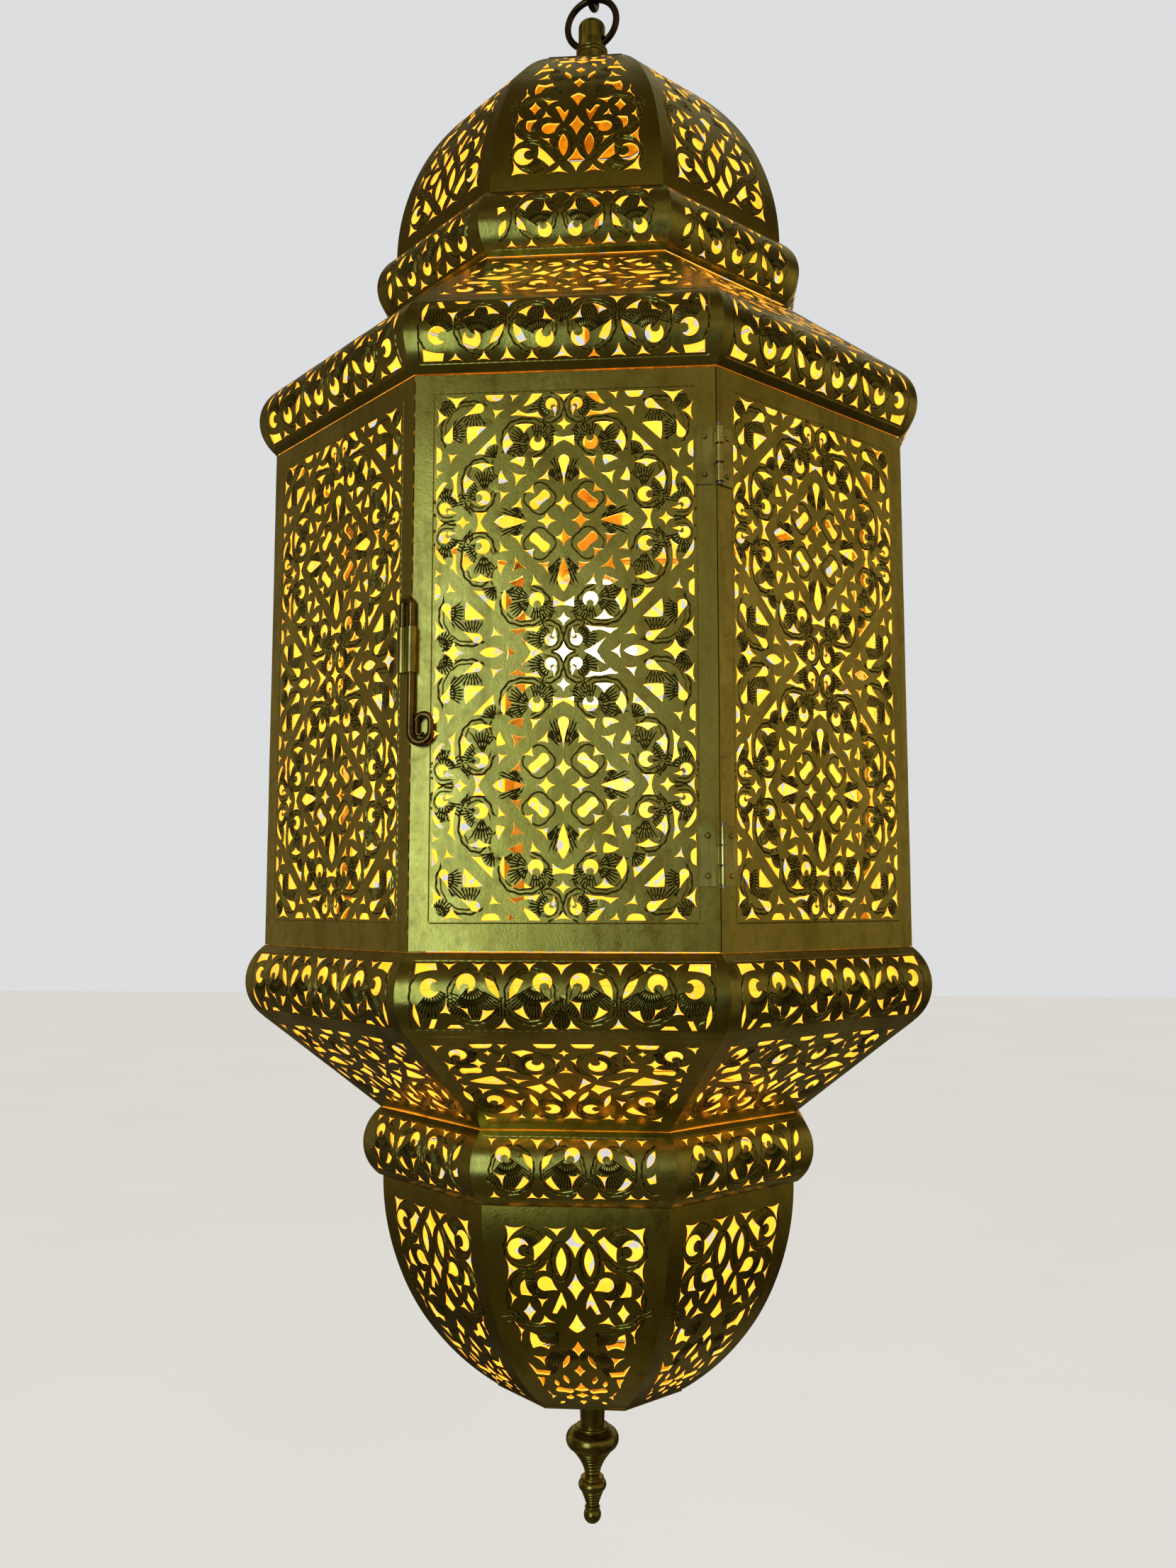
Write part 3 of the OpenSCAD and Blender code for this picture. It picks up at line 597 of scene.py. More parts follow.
def gore_pattern():
    """A dome gore: sideways from its middle, and up its arc from the skirt."""
    q = Pattern()
    # First row, over the skirt.
    q.plates([(27, 10.5), (38, 10.5), (37.3, 20)], [(4.5, 10.6), (17, 10.6), (9.8, 15.6)])
    q.crescent(31, 23, 5.8, 165, 0.6, 0.6)
    q.plate([(22.5, 29.5), (12.5, 18), (15.8, 15.6), (19.8, 19.6), (22.8, 21.8)], [3, 0, -4, 0, -5])
    q.lens((7.4, 21.8), (7.9, 38), 5.4)
    q.plates([(14.6, 29), (22.2, 36.2), (16, 35)], [(38, 28), (37.3, 41), (31.2, 34.3)])
    # Second row.
    q.drop((16.6, 42.6), 4.2, (10, 46.3))
    q.plate([(23.8, 50), (29.8, 49.4), (30, 43), (27.6, 40.4)], [0, 6, 3, -10])
    q.plate([(32.4, 51.2), (35.6, 57), (37, 45.6)])
    q.plate([(8, 47.5), (13.2, 60.5), (11, 61), (7.6, 55), (5.4, 58), (5.6, 54)], 0)
    q.plate([(15.3, 51.6), (20.8, 51.6), (18.8, 57)])
    q.kite(25.6, 60, 3.3, 6, 5.6)
    q.plate([(11.4, 67.4), (21.4, 69), (17.6, 62.4)], [-14, -8, -8])
    q.plate([(29.4, 72.6), (31.4, 80.8), (34.2, 66.8)])
    q.plate([(15.2, 82.4), (16.4, 86.4), (20.6, 84.2), (25, 85.8), (26.4, 80), (26, 74), (22.6, 76),
             (20.6, 80.8)], [0, -6, -6, 2, 2, 0, -4, -8])
    # Third row, up to the crown.
    q.lens((5.2, 90.6), (9.2, 101.8), 2.9)
    q.plate([(18.2, 92.2), (19, 101), (25.6, 91.8)])
    q.plate([(16.6, 105), (17.6, 109), (24.6, 108), (28.4, 98.2), (24.2, 104)], [0, 0, 0, 2, 0])
    q.lens((9.2, 108.4), (7, 117), 2.6)
    q.plate([(20.4, 111.2), (22, 120.8), (24.4, 111)], [4, -6, -6])
    q.lens((14.2, 113.4), (13.2, 120), 2.5)
    q.peanut(9.6, 124.6, 5.0, 2.7, -14)
    q.plate([(15.2, 132.6), (17.6, 136.2), (19.6, 125.6)])
    q.drop((7.2, 133.6), 2.1, (6.6, 129.6))
    q.lens((11, 139.4), (13.2, 143), 2.4)
    # Chased straps and leaves.
    q.ring(27.5, 22.8, 11.6, 11.2, -150, 150, strap=1.9)
    q.arc(22.5, 52, 15.5, 17.5, -75, 128, STRAP)
    q.arc(22.5, 52, 13.6, 15.6, -70, 120, INNER_STRAP, 0.1)
    q.arc(8, 30, 5.2, 11.2, -80, 260, STRAP, 0.1)
    q.arc(17.5, 3, 17, 26, 62, 112, STRAP, 0.1)
    q.arc(9, 66, 9, 30, -88, -28, STRAP, 0.1)
    q.fans((27, 24, 1.5, 8.5, -140, -60), (21, 40, 3, 9, 10, 80), (15.5, 44.5, 5.5, 11.5, 10, 70),
           (30, 62, 2, 8, -30, 60), (10, 74, 2, 9, 0, 80), (14, 88, 1, 9, 60, 150),
           (12, 102, 1, 7, -20, 60), (4, 96, 3, 8, -140, -60))
    whole = q.copies(MIRRORED)
    axis = Pattern()
    axis.kite(0, 19, 5.2, 8.4, 7.6, -8)
    axis.kite(0, 44.6, 4.4, 7.6, 8.2, -6)
    axis.plate([(0, 61), (4.6, 70), (0, 73.6), (-4.6, 70)], [-4, 6, 6, -4])
    axis.kite(0, 86, 3.4, 5.2, 6.6)
    axis.kite(0, 104, 3.0, 5.2, 5.2)
    axis.plate([(0, 115.4), (4.2, 123.6), (0, 125.4), (-4.2, 123.6)], [-6, 5, 5, -6])
    axis.kite(0, 130.6, 3.6, 3.2, 3.6)
    axis.drop((0, 139.4), 1.8, (0, 143.6))
    return whole.include(axis)


def band_pattern():
    """The half-round band: oval medallions of a running scroll, sideways and up from its middle."""
    q = Pattern()
    # Medallion beside the middle.
    q.plate([(4.0, 1.2), (10.2, 2.6), (10, 10.4)])
    q.plate([(15.6, 11.4), (23, 7), (18.6, 4.6)], [6, -8, -8])
    q.crescent(9.2, -7.2, 4.8, 110)
    q.plate([(18.6, -8), (21.4, -2.4), (25.2, 0.8), (24.6, -5.6), (22.2, -9.4)], [0, 0, 6, 6, 0])
    q.fan(12, -6.4, 3.4, 17, 30, 128)
    q.ring(15.2, 0, 12.6, 14.6)
    # Medallion beside it, turned the other way.
    q.plate([(32.8, 6.6), (40.8, 13), (38.6, 6.6)], [6, -8, -8])
    q.plate([(44.4, 11.6), (51.6, 4.6), (46, 6)])
    q.crescent(47.2, -6.8, 4.8, 80)
    q.plate([(30.4, 0.6), (33.4, -7.4), (37.8, -9.4), (35.2, -3.2)], [8, 0, 4, 6])
    q.fan(44.6, -6.2, 3.4, 17, 52, 150)
    q.ring(43.4, 0, 12.8, 14.6)
    # Half medallion at the mitre.
    q.plate([(54.6, 9), (60, 8.6), (56.6, 1.6)])
    q.crescent(65.2, -4.2, 4.8, 190)
    q.plate([(62, -13.4), (73, -11), (73, -17.2), (63, -17.2)], [-6, 0, 0, 0])
    q.plate([(70.4, 16.6), (73.4, 10), (72.8, 3.6), (71, 10)], [4, 4, 0, 0])
    q.plate([(61.6, 12), (63.8, 17.6), (66.2, 17.6), (64.2, 12)], 0)
    q.fan(64, -4, 4.6, 13, 52, 165)
    q.arc(62, -0.5, 13.4, 15, -62, 62, STRAP, 0.2)
    # Rows along both edges.
    q.plates([(2.2, 17.4), (9.4, 17.4), (4.8, 11.6)], [(23.6, 17.4), (33, 17.4), (28, 11)])
    q.plate([(48.4, 17.4), (57, 17.4), (55, 15.2), (50.6, 15.2)], 0)
    q.plates([(12.8, -17.6), (19.2, -17.6), (16, -13)], [(24.8, -17.6), (32.8, -17.6), (29, -10.8)],
             [(38, -17.4), (45, -17.4), (41, -12.8)], [(52.4, -17.4), (60, -17.4), (56, -13.6)])
    q.fan(29.3, -4, 5, 13.5, 74, 106)
    whole = q.copies(MIRRORED)
    axis = Pattern()
    axis.plate([(-5.2, -17.6), (5.2, -17.6), (0, -11)])
    axis.fan(0, -4, 6, 19, 78, 102)
    whole.include(axis)
    for level in (-18.6, 18.6):
        whole.rule(-75, 75.1, level, EDGE_LINE, EDGE_STEP)
    for side in (-75.2, 75.2):
        whole.rule(-18, 18.1, side, EDGE_LINE, EDGE_STEP, True)
    return whole


def collar_pattern():
    """The collar: three oval medallions and part of a fourth, not centred on the face."""
    whole = Pattern()
    medallion = Pattern()
    medallion.plate([(-9.2, 0.8), (-4.6, 9.4), (-3.6, 1.8)])
    medallion.plate([(1.6, 9.4), (5, 9), (9.4, 4.6), (6.4, 2.2)], [3, 5, 0, -5])
    medallion.crescent(-5, -9.2, 4.1, 70)
    medallion.plate([(5.6, -9.4), (7.8, -4.6), (11, -1.4), (10.4, -8)], [0, 0, 8, 0])
    medallion.fan(-2.6, -8, 3.2, 16, 34, 132)
    medallion.ring(0, -0.6, 12.2, 13.6, strap=2.0)
    for centre, side in ((-22, -1), (5.5, 1), (33, -1)):
        whole.include(medallion, ((side, 1),), (centre, 0))
    whole.plate([(-44, 0), (-44.4, 4.6), (-41, 5.4), (-39.4, 2.6)], [0, 5, 0, -8])
    whole.lens((-43.6, -12), (-39.6, -3), 3.8)
    whole.arc(-46, -1, 9.5, 14, -70, 70, STRAP)
    # Rows along both edges, each hole as its middle, half its width and its height.
    foot = -18
    for x, half, height in ((-36.6, 2.8, 3.6), (-25, 3, 4), (-8.6, 4.2, 5.4), (8.6, 2.6, 4),
                            (19.6, 4, 6), (32.8, 2.8, 4), (44.6, 2.2, 4)):
        whole.plate([(x - half, foot), (x + half, foot), (x, foot + height)])
    head = 15.6
    for x, half, height in ((-38, 3.2, 3), (-31, 3.4, 3.6), (-14, 3.4, 5), (-2.6, 3.2, 4.4),
                            (15.6, 3, 3.2), (22, 3.2, 4), (42.4, 2.8, 4.4)):
        whole.plate([(x - half, head), (x + half, head), (x + 0.4, head - height)])
    for level in (foot - 1, head + 1):
        whole.rule(-46, 47, level, EDGE_LINE, EDGE_STEP)
    return whole


def slope_pattern():
    """A sloping panel: sideways from its middle, and from its wide foot towards the collar."""
    q = Pattern()
    q.plate([(3.6, 5), (15.4, 5), (13.6, 8), (5.4, 8)], [0, 5, 5, 5])
    q.plate([(35.8, 5.4), (47.6, 5.8), (46, 8.8), (37.6, 8.4)], [0, 5, 5, 5])
    q.plates([(28, 5.4), (33.4, 5.4), (31.6, 9.4)], [(61, 7), (67.2, 7), (65.4, 12.4)])
    q.plate([(15.6, 12.6), (20.6, 10.6), (27, 12.4), (22.6, 16.4)], [4, 4, -8, -8])
    q.crescent(54.6, 15, 4.6, 65, 0.56, 0.66)
    q.star(39, 13.4, 2.0, 2.2)
    q.plates([(30.6, 14), (36, 21.6), (33, 20.6)], [(2.6, 19), (6.2, 17), (5.4, 24.4)])
    q.crescent(16, 24, 4.8, -110, 0.56, 0.62)
    q.star(45, 22.4, 4.2, 4.0)
    q.plate([(57, 24.6), (62.6, 21.4), (61, 29.6)])
    q.plate([(25.8, 30.4), (31, 26.4), (36.6, 26.8), (35.8, 29.6), (31.4, 28.8)], [5, 5, 0, -5, -5])
    q.peanut(49.6, 29.2, 5.8, 2.5, 6)
    q.plate([(11.8, 31), (18.4, 32.6), (15.4, 36)])
    q.plate([(32, 41), (39, 34), (51.4, 39)], [3, 3, 6])
    q.plate([(20, 37.4), (32.6, 33.8), (26.4, 40.6)])
    q.plate([(11.2, 45.4), (14, 41), (22.4, 44), (15.2, 50)], [-3, 0, -6, -6])
    q.plate([(8, 35.2), (11.8, 39.4), (5.2, 45.2)], [0, -5, 0])
    q.lens((10, 47.6), (4.2, 57), 2.7)
    q.plate([(26.8, 50), (29.6, 46.6), (34.4, 46.6), (29.4, 49.6)], [5, 3, 0, 0])
    q.plates([(40.8, 46.4), (47.8, 45.2), (46, 50.8)], [(54.8, 35.8), (59, 33.2), (58, 38.4)],
             [(53, 43.6), (57, 41.6), (55, 46.2)])
    q.lens((56, 48.4), (52, 58.2), 3.0)
    q.lens((21, 50.6), (17.8, 62), 2.9)
    q.plate([(23.8, 55), (29, 57), (26.6, 62.2)])
    q.crescent(40, 56.6, 4.4, 70, 0.56, 0.64)
    q.plate([(28.8, 65.6), (32.4, 61.8), (39.8, 69.6), (34.6, 69)], [3, -6, 0, 8])
    q.crescent(10.4, 64.6, 4.4, -8, 0.56, 0.62)
    q.plates([(15.8, 74.4), (22.2, 74.4), (19.8, 69.8)], [(25.4, 74.2), (30.2, 74.2), (27.2, 70)],
             [(42, 74.8), (48, 71), (47, 76)])
    q.ring(15.5, 23, 11.5, 10.5, 20, 330, strap=1.8)
    q.ring(44, 21, 14.5, 12.5, 150, 420, strap=1.8)
    q.ring(41.5, 58, 11.5, 11, -150, 150, strap=1.8)
    q.ring(11, 65, 8.2, 9.2, 60, 330, strap=1.6)
    q.arc(0, 38, 34, 10, 10, 60, STRAP)
    q.fans((16, 22.5, 4.5, 9, -80, 40), (44.5, 14, 2, 7, -40, 60), (53, 17, 5, 9, 60, 160),
           (40, 58.5, 4, 9, -20, 130), (12, 66, 3, 7, 110, 200))
    whole = q.copies(MIRRORED)
    axis = Pattern()
    axis.star(0.4, 12.6, 2.6, 2.8)
    axis.plate([(0.4, 25), (4.2, 30.6), (-3.2, 30.6)])
    axis.plate([(0, 45.8), (4, 49), (0.4, 54.8), (-3.6, 49)], [0, -5, -5, 0])
    axis.plate([(-5.2, 74.4), (5.2, 74.4), (0, 65)])
    return whole.include(axis)


# ---- Materials ----

class Nodes:
    """Short hand for building the nodes of a material or of the world."""

    def __init__(self, owner, shader, space):
        owner.use_nodes = True
        self.owner = owner
        self.tree = owner.node_tree
        self.shader = self.tree.nodes[shader]
        self.place = self.tree.nodes.new("ShaderNodeTexCoord").outputs[space]

    def add(self, kind, **inputs):
        node = self.tree.nodes.new(kind)
        for name, value in inputs.items():
            self.set(node, name.replace("_", " "), value)
        return node

    def set(self, node, socket, value):
        """Links an output to an input, or gives it a constant. A colour has three values."""
        socket = node.inputs[socket]
        if isinstance(value, bpy.types.NodeSocket):
            self.tree.links.new(value, socket)
        elif socket.type == "RGBA":
            socket.default_value = (*value, 1.0)
        else:
            socket.default_value = value

    def noise(self, scale, detail=4.0, rough=0.55, stretch=(1, 1, 1)):
        stretched = self.add("ShaderNodeMapping", Vector=self.place, Scale=stretch)
        node = self.add("ShaderNodeTexNoise", Vector=stretched.outputs[0], Scale=scale,
                        Detail=detail, Roughness=rough)
        return node.outputs["Fac"]

    def fed(self, node, *values):
        for k, value in enumerate(values):
            self.set(node, k, value)
        return node.outputs[0]

    def span(self, value, low, high, to_low=0.0, to_high=1.0):
        return self.fed(self.add("ShaderNodeMapRange"), value, low, high, to_low, to_high)

    def math(self, operation, a, b):
        node = self.add("ShaderNodeMath")
        node.operation = operation
        return self.fed(node, a, b)

    def mix(self, fac, a, b):
        node = self.add("ShaderNodeMix")
        node.data_type = "RGBA"
        self.set(node, "Factor", fac)
        self.set(node, 6, a)
        self.set(node, 7, b)
        return node.outputs[2]

    def patina(self):
        node = self.add("ShaderNodeAttribute")
        node.attribute_name = "patina"
        return node.outputs["Fac"]

    def bump(self, height, strength, distance):
        node = self.add("ShaderNodeBump", Height=height, Strength=strength, Distance=distance)
        self.set(self.shader, "Normal", node.outputs[0])

    def surface(self, **inputs):
        for name, value in inputs.items():
            self.set(self.shader, name.replace("_", " "), value)
        return self.owner


def material_nodes(name):
    return Nodes(bpy.data.materials.new(name), "Principled BSDF", "Object")


def aged_sheet(name, light, mid, dark, groove, rough):
    """Chased sheet: tarnish in blotches, brushed streaks and dark dirt in every groove."""
    n = material_nodes(name)
    blotch = n.noise(14, 5, 0.6)
    streak = n.noise(60, 4, 0.6, (1, 1, 0.12))
    fine = n.noise(160, 6, 0.65)
    grain = n.noise(900, 3, 0.5)
    tone = n.mix(n.span(blotch, 0.36, 0.66), mid, light)
    tone = n.mix(n.span(streak, 0.50, 0.72, 0.0, 0.45), tone, dark)
    tone = n.mix(n.span(fine, 0.52, 0.74, 0.0, 0.4), tone, dark)
    tone = n.mix(n.span(n.patina(), 0.42, 0.92), tone, groove)
    wear = n.math("ADD", n.span(fine, 0.3, 0.7, rough - 0.05, rough + 0.08),
                  n.span(n.patina(), 0.4, 1.0, 0.0, 0.3))
    wear = n.math("ADD", wear, n.span(streak, 0.35, 0.7, -0.04, 0.06))
    height = n.math("ADD", n.math("MULTIPLY", fine, 0.5), n.math("MULTIPLY", grain, 0.3))
    height = n.math("ADD", height, n.math("MULTIPLY", streak, 0.4))
    n.bump(height, 0.3, 0.0004)
    return n.surface(Base_Color=tone, Roughness=wear, Metallic=0.95,
                     Coat_Weight=0.08, Coat_Roughness=0.2)


def brass_with_painted_glow(name):
    """The inner face of the sheet: yellow brass lit by the bulb, with a painted glow of bulb light that
    it gives off by itself.
    """
    n = material_nodes(name)
    cloud = n.noise(20, 4, 0.6)
    fleck = n.noise(240, 5, 0.6)
    tone = n.mix(n.span(cloud, 0.35, 0.7), (0.96, 0.68, 0.16), (0.86, 0.52, 0.09))
    tone = n.mix(n.span(fleck, 0.55, 0.75, 0.0, 0.5), tone, (0.70, 0.44, 0.10))
    # Painted bulb light: an even yellow to orange glow as emission, so the holes shine from any side.
    glow = n.mix(n.span(cloud, 0.32, 0.68), (1.0, 0.64, 0.09), (1.0, 0.42, 0.02))
    n.bump(fleck, 0.2, 0.0003)
    n.owner.cycles.emission_sampling = "NONE"
    return n.surface(Base_Color=tone, Roughness=n.span(cloud, 0.3, 0.7, 0.38, 0.55), Metallic=0.6,
                     Emission_Color=glow, Emission_Strength=0.75)


def cast_metal(name, light, dark, rough, fleck_scale=300, stretch=(1, 1, 1), bump=0.25):
    """Plain metal hardware with tarnish, fine scratches and a little unevenness."""
    n = material_nodes(name)
    cloud = n.noise(45, 5, 0.6)
    fleck = n.noise(fleck_scale, 6, 0.6, stretch)
    tone = n.mix(n.span(cloud, 0.35, 0.68), dark, light)
    tone = n.mix(n.span(fleck, 0.52, 0.72, 0.0, 0.6), tone, dark)
    n.bump(fleck, bump, 0.0003)
    return n.surface(Base_Color=tone, Roughness=n.span(fleck, 0.3, 0.7, rough - 0.07, rough + 0.1),
                     Metallic=0.95)


def clouded(n, scale, first, second, detail=3):
    """Two colours in soft clouds, and the clouds themselves."""
    share = n.noise(scale, detail, 0.5)
    return n.mix(n.span(share, 0.3, 0.7), first, second), share


def ceramic(name):
    n = material_nodes(name)
    tone, share = clouded(n, 60, (0.80, 0.77, 0.70), (0.70, 0.66, 0.58), 4)
    return n.surface(Base_Color=tone, Roughness=n.span(share, 0.3, 0.7, 0.2, 0.3))


def glowing(name, base, rough, scale, first, second, strength, alpha=1.0):
    """A part of the bulb that shines by itself."""
    n = material_nodes(name)
    glow, _ = clouded(n, scale, first, second)
    return n.surface(Base_Color=base, Roughness=rough, Alpha=alpha, Emission_Color=glow,
                     Emission_Strength=strength)


# Stretches of a metal's scratches: up and down a plate, and round a turned piece.
ALONG_PLATE = (1, 1, 0.1)
ROUND_TURNED = (1, 1, 6)

MATERIALS = {
    "pierced": aged_sheet("pierced_sheet", (0.62, 0.50, 0.11), (0.46, 0.36, 0.06),
                          (0.20, 0.15, 0.025), (0.022, 0.016, 0.003), 0.25),
    "dome": aged_sheet("dome_sheet", (0.46, 0.36, 0.05), (0.32, 0.24, 0.03),
                       (0.14, 0.10, 0.012), (0.020, 0.014, 0.002), 0.25),
    "band": aged_sheet("band_sheet", (0.54, 0.44, 0.09), (0.36, 0.29, 0.05),
                       (0.15, 0.11, 0.018), (0.020, 0.014, 0.002), 0.22),
    "inside": brass_with_painted_glow("sheet_inside"),
    "frame": cast_metal("frame_brass", (0.42, 0.30, 0.09), (0.20, 0.13, 0.04), 0.4),
    "fitting": cast_metal("fitting_brass", (0.74, 0.63, 0.19), (0.36, 0.29, 0.06), 0.25,
                          300, ALONG_PLATE),
    "turned": cast_metal("turned_brass", (0.55, 0.43, 0.09), (0.22, 0.165, 0.025), 0.2,
                         500, ROUND_TURNED, 0.15),
    "bright": cast_metal("bright_brass", (0.72, 0.54, 0.22), (0.40, 0.27, 0.09), 0.3),
    "wire": cast_metal("dark_wire", (0.12, 0.095, 0.035), (0.045, 0.032, 0.012), 0.25),
    "latch": cast_metal("latch_wire", (0.42, 0.27, 0.06), (0.13, 0.08, 0.02), 0.2),
    "holder": cast_metal("lampholder_brass", (0.62, 0.48, 0.2), (0.4, 0.27, 0.1), 0.3),
    "steel": cast_metal("steel", (0.5, 0.5, 0.5), (0.3, 0.29, 0.27), 0.32),
    "cap": cast_metal("bulb_cap_metal", (0.74, 0.74, 0.75), (0.5, 0.5, 0.5), 0.3),
    "ceramic": ceramic("lampholder_ceramic"),
    "bulb": glowing("bulb_glass", (0.95, 0.9, 0.8), 0.15, 30,
                    (1.0, 0.86, 0.50), (1.0, 0.80, 0.42), 3.2, 0.35),
    "filament": glowing("filament", (0.9, 0.7, 0.3), 0.4, 400,
                        (1.0, 0.85, 0.52), (1.0, 0.80, 0.44), 230.0),
}

# The CAD nodes that stay in view, by material.
PAINTED = {
    "frame": ["corner_strips", "frame_rings"],
    "fitting": ["upper_hinge_frame_leaf", "lower_hinge_frame_leaf", "upper_hinge_door_leaf",
                "lower_hinge_door_leaf", "latch_sleeve", "latch_keeper", "frame_rivets", "door_rivets"],
    "turned": ["stem", "finial", "crown_plate", "base_plate"],
    "bright": ["down_tube", "tube_nuts"],
    "wire": ["hanging_link", "chain_link", "suspension_ring"],
    "latch": ["latch_hairpin"],
    "holder": ["lampholder_cap", "lampholder_shell"],
    "ceramic": ["lampholder_insert"],
    "cap": ["bulb_cap"],
    "bulb": ["bulb_glass"],
    "steel": ["upper_hinge_pin", "lower_hinge_pin", "finial_stud", "finial_nut"],
}


# ---- Pieces ----

def link_in(thing):
    bpy.context.scene.collection.objects.link(thing)
    return thing


def add_piece(name, mesh, body, matrix, nodes):
    piece = link_in(bpy.data.objects.new(name, mesh))
    piece.matrix_world = matrix
    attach(piece, body)
    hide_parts(*nodes)


def add_faces(mesh, piece, node, sides=("upper", "lower")):
    """A face's mesh eight times above the body's middle, and turned over eight times below."""
    for i in range(SIDES):
        for side, upturned in zip(sides, (False, True)):
            name = piece.format(side, i + 1)
            add_piece(name, mesh, "lantern", on_face(i, upturned), [node.format(side, i + 1)])


def face_mesh(name, section, design, outside):
    """The sheet of one face, between its two mitres."""
    profile, length = section
    return pierced_sheet(name, wedge_outline(profile, length), design, wall_surface(profile), outside)


def field_frame(half_width, low, high):
    """The fine groove that frames a pierced field."""
    lines = Pattern()
    for side in (-1, 1):
        lines.rule(low - 1, high + 1.1, side * half_width, FIELD_LINE, GROOVE_STEP, True)
    for level in (low - 1, high + 1):
        lines.rule(-half_width, half_width + 0.1, level, FIELD_LINE, GROOVE_STEP)
    return lines


def body_panels():
    half_height = (panel_high.z - panel_low.z) / 2
    design = field_frame(FIELD_HALF + 1, FIELD_LIFT - 2 * SQUARE_RISE, FIELD_LIFT + 2 * SQUARE_RISE)
    design.include(panel_pattern(), offset=(0, FIELD_LIFT))
    design = design.copies(offset=(0, half_height))
    section = straight_profile((BODY_APOTHEM, -half_height), (BODY_APOTHEM, half_height))
    mesh = face_mesh("body_sheet", section, design, "pierced")
    for i in range(1, SIDES):
        add_piece(f"sheet_panel_{i}", mesh, "lantern", on_face(i), [f"body_panel_{i}"])
    door_half = (door_high.z - door_low.z) / 2
    outline = box_outline(door_low.x, door_high.x, half_height - door_half, half_height + door_half)
    unmitred = wall_surface(section[0], mitred=False)
    mesh = pierced_sheet("door_sheet", outline, design, unmitred, "pierced")
    add_piece("sheet_door", mesh, "door", on_face(0), ["door_panel"])


def domes():
    centre = (DOME_APOTHEM - GORE_RADIUS, gore_low.z - MIDDLE)
    sweep = math.asin((gore_high.z - gore_low.z) / GORE_RADIUS)
    section = arc_profile(centre, GORE_RADIUS, 0, sweep)
    mesh = face_mesh("gore_sheet", section, gore_pattern(), "dome")
    add_faces(mesh, "sheet_{}_gore_{}", "{}_gore_{}", ("top", "bottom"))


def moulding(node, apothem, low, high, pattern):
    """A half-round moulding above the body, and one below."""
    height = high.z - low.z
    bulge = high.x - apothem
    radius = ((height / 2) ** 2 + bulge ** 2) / (2 * bulge)
    half = math.asin(height / 2 / radius)
    level = (low.z + high.z) / 2 - MIDDLE
    section = arc_profile((high.x - radius, level), radius, -half, half)
    design = pattern.copies(offset=(0, section[1] / 2))
    mesh = face_mesh(node + "_sheet", section, design, "band")
    add_faces(mesh, "sheet_{}_" + node + "_{}", "{}_" + node)


def slopes():
    foot = (SLOPE_FOOT_APOTHEM, slope_low.z - MIDDLE)
    head = (COLLAR_REST_APOTHEM - 1.2, slope_high.z - MIDDLE + 1.0)
    mesh = face_mesh("slope_sheet", straight_profile(foot, head), slope_pattern(), "band")
    add_faces(mesh, "sheet_{}_slope_{}", "{}_slopes")


def tube(path, radius, sides=10):
    """A closed round tube along a path of points, as points and faces."""
    path = np.array(path, float)
    ahead = np.gradient(path, axis=0)
    ahead /= np.linalg.norm(ahead, axis=1)[:, None]
    # Any direction that no part of the path has.
    aside = (0.3, 1.0, 0.2)
    across = np.cross(ahead, aside)
    across /= np.linalg.norm(across, axis=1)[:, None]
    third = np.cross(ahead, across)
    turn = 2 * math.pi * np.arange(sides) / sides
    rings = path[:, None] + radius * (across[:, None] * np.cos(turn)[:, None]
                                      + third[:, None] * np.sin(turn)[:, None])
    faces = [list(range(sides))[::-1], [len(path) * sides - sides + k for k in range(sides)]]
    for i in range(len(path) - 1):
        for k in range(sides):
            a, b = i * sides + k, i * sides + (k + 1) % sides
            faces.append([a, b, b + sides, a + sides])
    return rings.reshape(-1, 3), faces


def filaments():
    """Glowing rods that stand in a ring inside the bulb, leaning in a little at the cap's end."""
    rods = 6
    rod_radius = 2.1
    half_length = 15.0
    ring_low = 10.5
    ring_high = 8.0
    bow = 1.2
    glass_low, glass_high = box_mm("bulb_glass")
    heart = glass_low.z + 0.3 * (glass_high.z - glass_low.z)
    t = np.linspace(0, 1, 13)
    reach = ring_low + (ring_high - ring_low) * t + bow * np.sin(math.pi * t)
    rise = heart + half_length * (2 * t - 1)
    points, faces = [], []
    for k in range(rods):
        turn = 2 * math.pi * k / rods
        path = np.column_stack([reach * math.cos(turn), reach * math.sin(turn), rise])
        rod, sides = tube(path * MM, rod_radius * MM)
        faces += [[v + len(points) for v in f] for f in sides]
        points += [tuple(v) for v in rod]
    mesh = bpy.data.meshes.new("filaments")
    mesh.from_pydata(points, [], faces)
    mesh.materials.append(MATERIALS["filament"])
    for face in mesh.polygons:
        face.use_smooth = len(face.vertices) == 4
    piece = link_in(bpy.data.objects.new("bulb_filaments", mesh))
    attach(piece, "lantern")


body_panels()
domes()
moulding("band", BODY_APOTHEM, band_low, band_high, band_pattern())
moulding("collar", COLLAR_REST_APOTHEM, collar_low, collar_high, collar_pattern())
slopes()
filaments()

for material, nodes in PAINTED.items():
    for data in (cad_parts[node].data for node in nodes):
        data.materials.clear()
        data.materials.append(MATERIALS[material])
        for face in data.polygons:
            face.material_index = 0


# ---- Floor, lights and camera ----

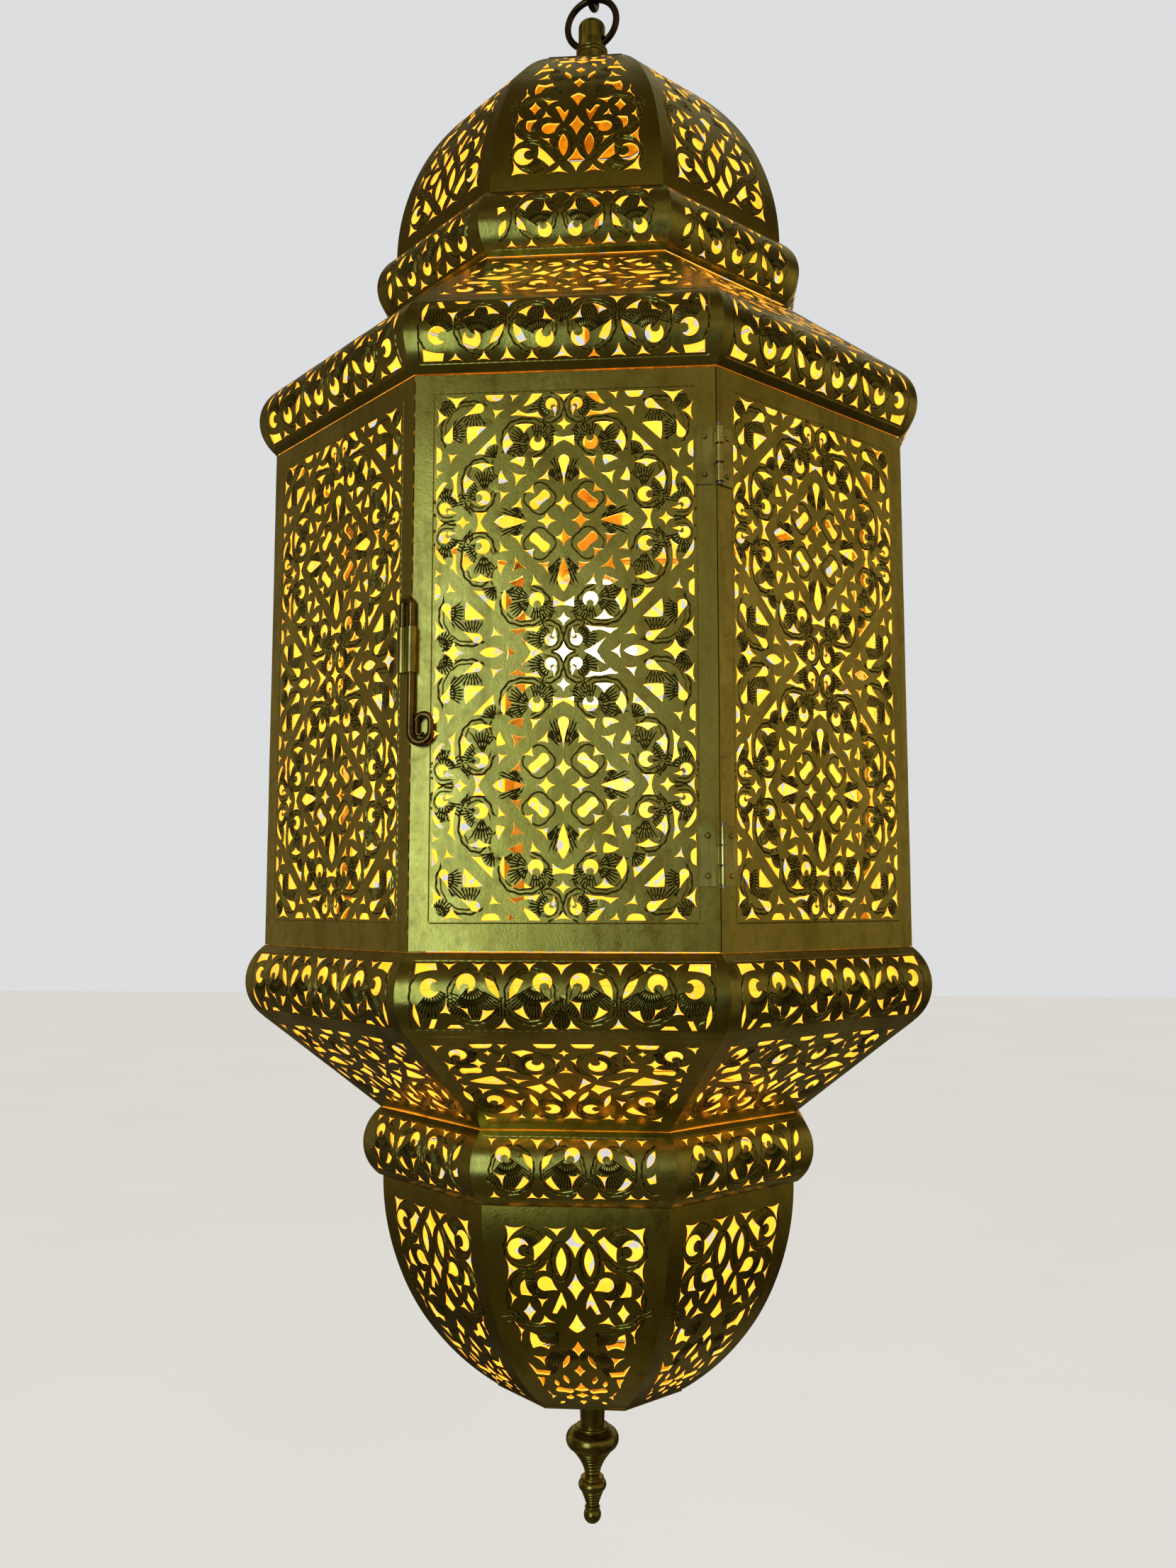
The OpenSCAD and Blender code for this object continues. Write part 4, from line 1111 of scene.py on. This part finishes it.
def pale_floor():
    """A pale floor that only the camera sees."""
    half_width = 14.0
    level = -1.75
    n = material_nodes("floor")
    tone, _ = clouded(n, 1.2, (0.74, 0.74, 0.735), (0.76, 0.76, 0.755))
    mesh = bpy.data.meshes.new("floor")
    corners = [(x * half_width, y * half_width, level) for x, y in ((-1, -1), (1, -1), (1, 1), (-1, 1))]
    mesh.from_pydata(corners, [], [(0, 1, 2, 3)])
    mesh.materials.append(n.surface(Base_Color=tone, Roughness=0.7))
    floor = link_in(bpy.data.objects.new("floor", mesh))
    floor.visible_glossy = False
    floor.visible_diffuse = False
    only_floor = bpy.data.collections.new("only_floor")
    only_floor.objects.link(floor)
    sky = link_in(bpy.data.objects.new("sky", bpy.data.lights.new("sky", "SUN")))
    sky.data.energy = 2.6
    sky.data.angle = math.radians(60)
    sky.light_linking.receiver_collection = only_floor


def room():
    """A plain backdrop to the camera, and to the metal a dim warm room that is darker below."""
    world = bpy.data.worlds.new("studio")
    n = Nodes(world, "Background", "Generated")
    n.surface(Color=(0.90, 0.91, 0.92), Strength=0.80)
    blotches = n.span(n.noise(1.6, 2.0, 0.5), 0.40, 0.62)
    walls = n.mix(blotches, (0.10, 0.075, 0.035), (0.52, 0.44, 0.27))
    height = n.add("ShaderNodeSeparateXYZ", Vector=n.place).outputs["Z"]
    around = n.add("ShaderNodeBackground", Color=walls, Strength=n.span(height, -0.45, 0.15, 0.22, 0.62))
    seen = n.add("ShaderNodeLightPath").outputs["Is Camera Ray"]
    choice = n.add("ShaderNodeMixShader", Fac=seen)
    n.set(choice, 1, around.outputs[0])
    n.set(choice, 2, n.shader.outputs[0])
    n.set(n.tree.nodes["World Output"], "Surface", choice.outputs[0])
    bpy.context.scene.world = world
    bpy.context.scene.view_settings.view_transform = "Standard"


def softbox(name, place, size, watts, colour):
    """A rectangular light that looks at the body's middle."""
    light = bpy.data.lights.new(name, "AREA")
    light.shape = "RECTANGLE"
    light.size, light.size_y = size
    light.energy = watts
    light.color = colour
    lamp = link_in(bpy.data.objects.new(name, light))
    lamp.location = place
    way = Vector((0, 0, MIDDLE_M)) - Vector(place)
    lamp.rotation_euler = way.to_track_quat("-Z", "Y").to_euler()
    lamp.visible_camera = False


def camera():
    """The photo's camera, from the fit to the body's visible edges."""
    upturn = 5.402
    left_turn = 4.593
    data = bpy.data.cameras.new("camera")
    data.sensor_fit = "VERTICAL"
    data.sensor_height = 36.0
    data.lens = 28.79
    data.clip_start = 0.02
    data.clip_end = 60.0
    eye = link_in(bpy.data.objects.new("camera", data))
    eye.location = (0.0627, -0.8146, -0.6820)
    eye.rotation_euler = (math.radians(90 + upturn), 0, math.radians(left_turn))
    bpy.context.scene.camera = eye


pale_floor()
room()
softbox("window", (-0.95, -2.6, MIDDLE_M), (1.1, 1.9), 15, (0.60, 0.86, 1.0))
softbox("overhead", (0.6, 0.8, 1.6), (2.0, 2.0), 2, (0.9, 0.95, 0.8))
camera()
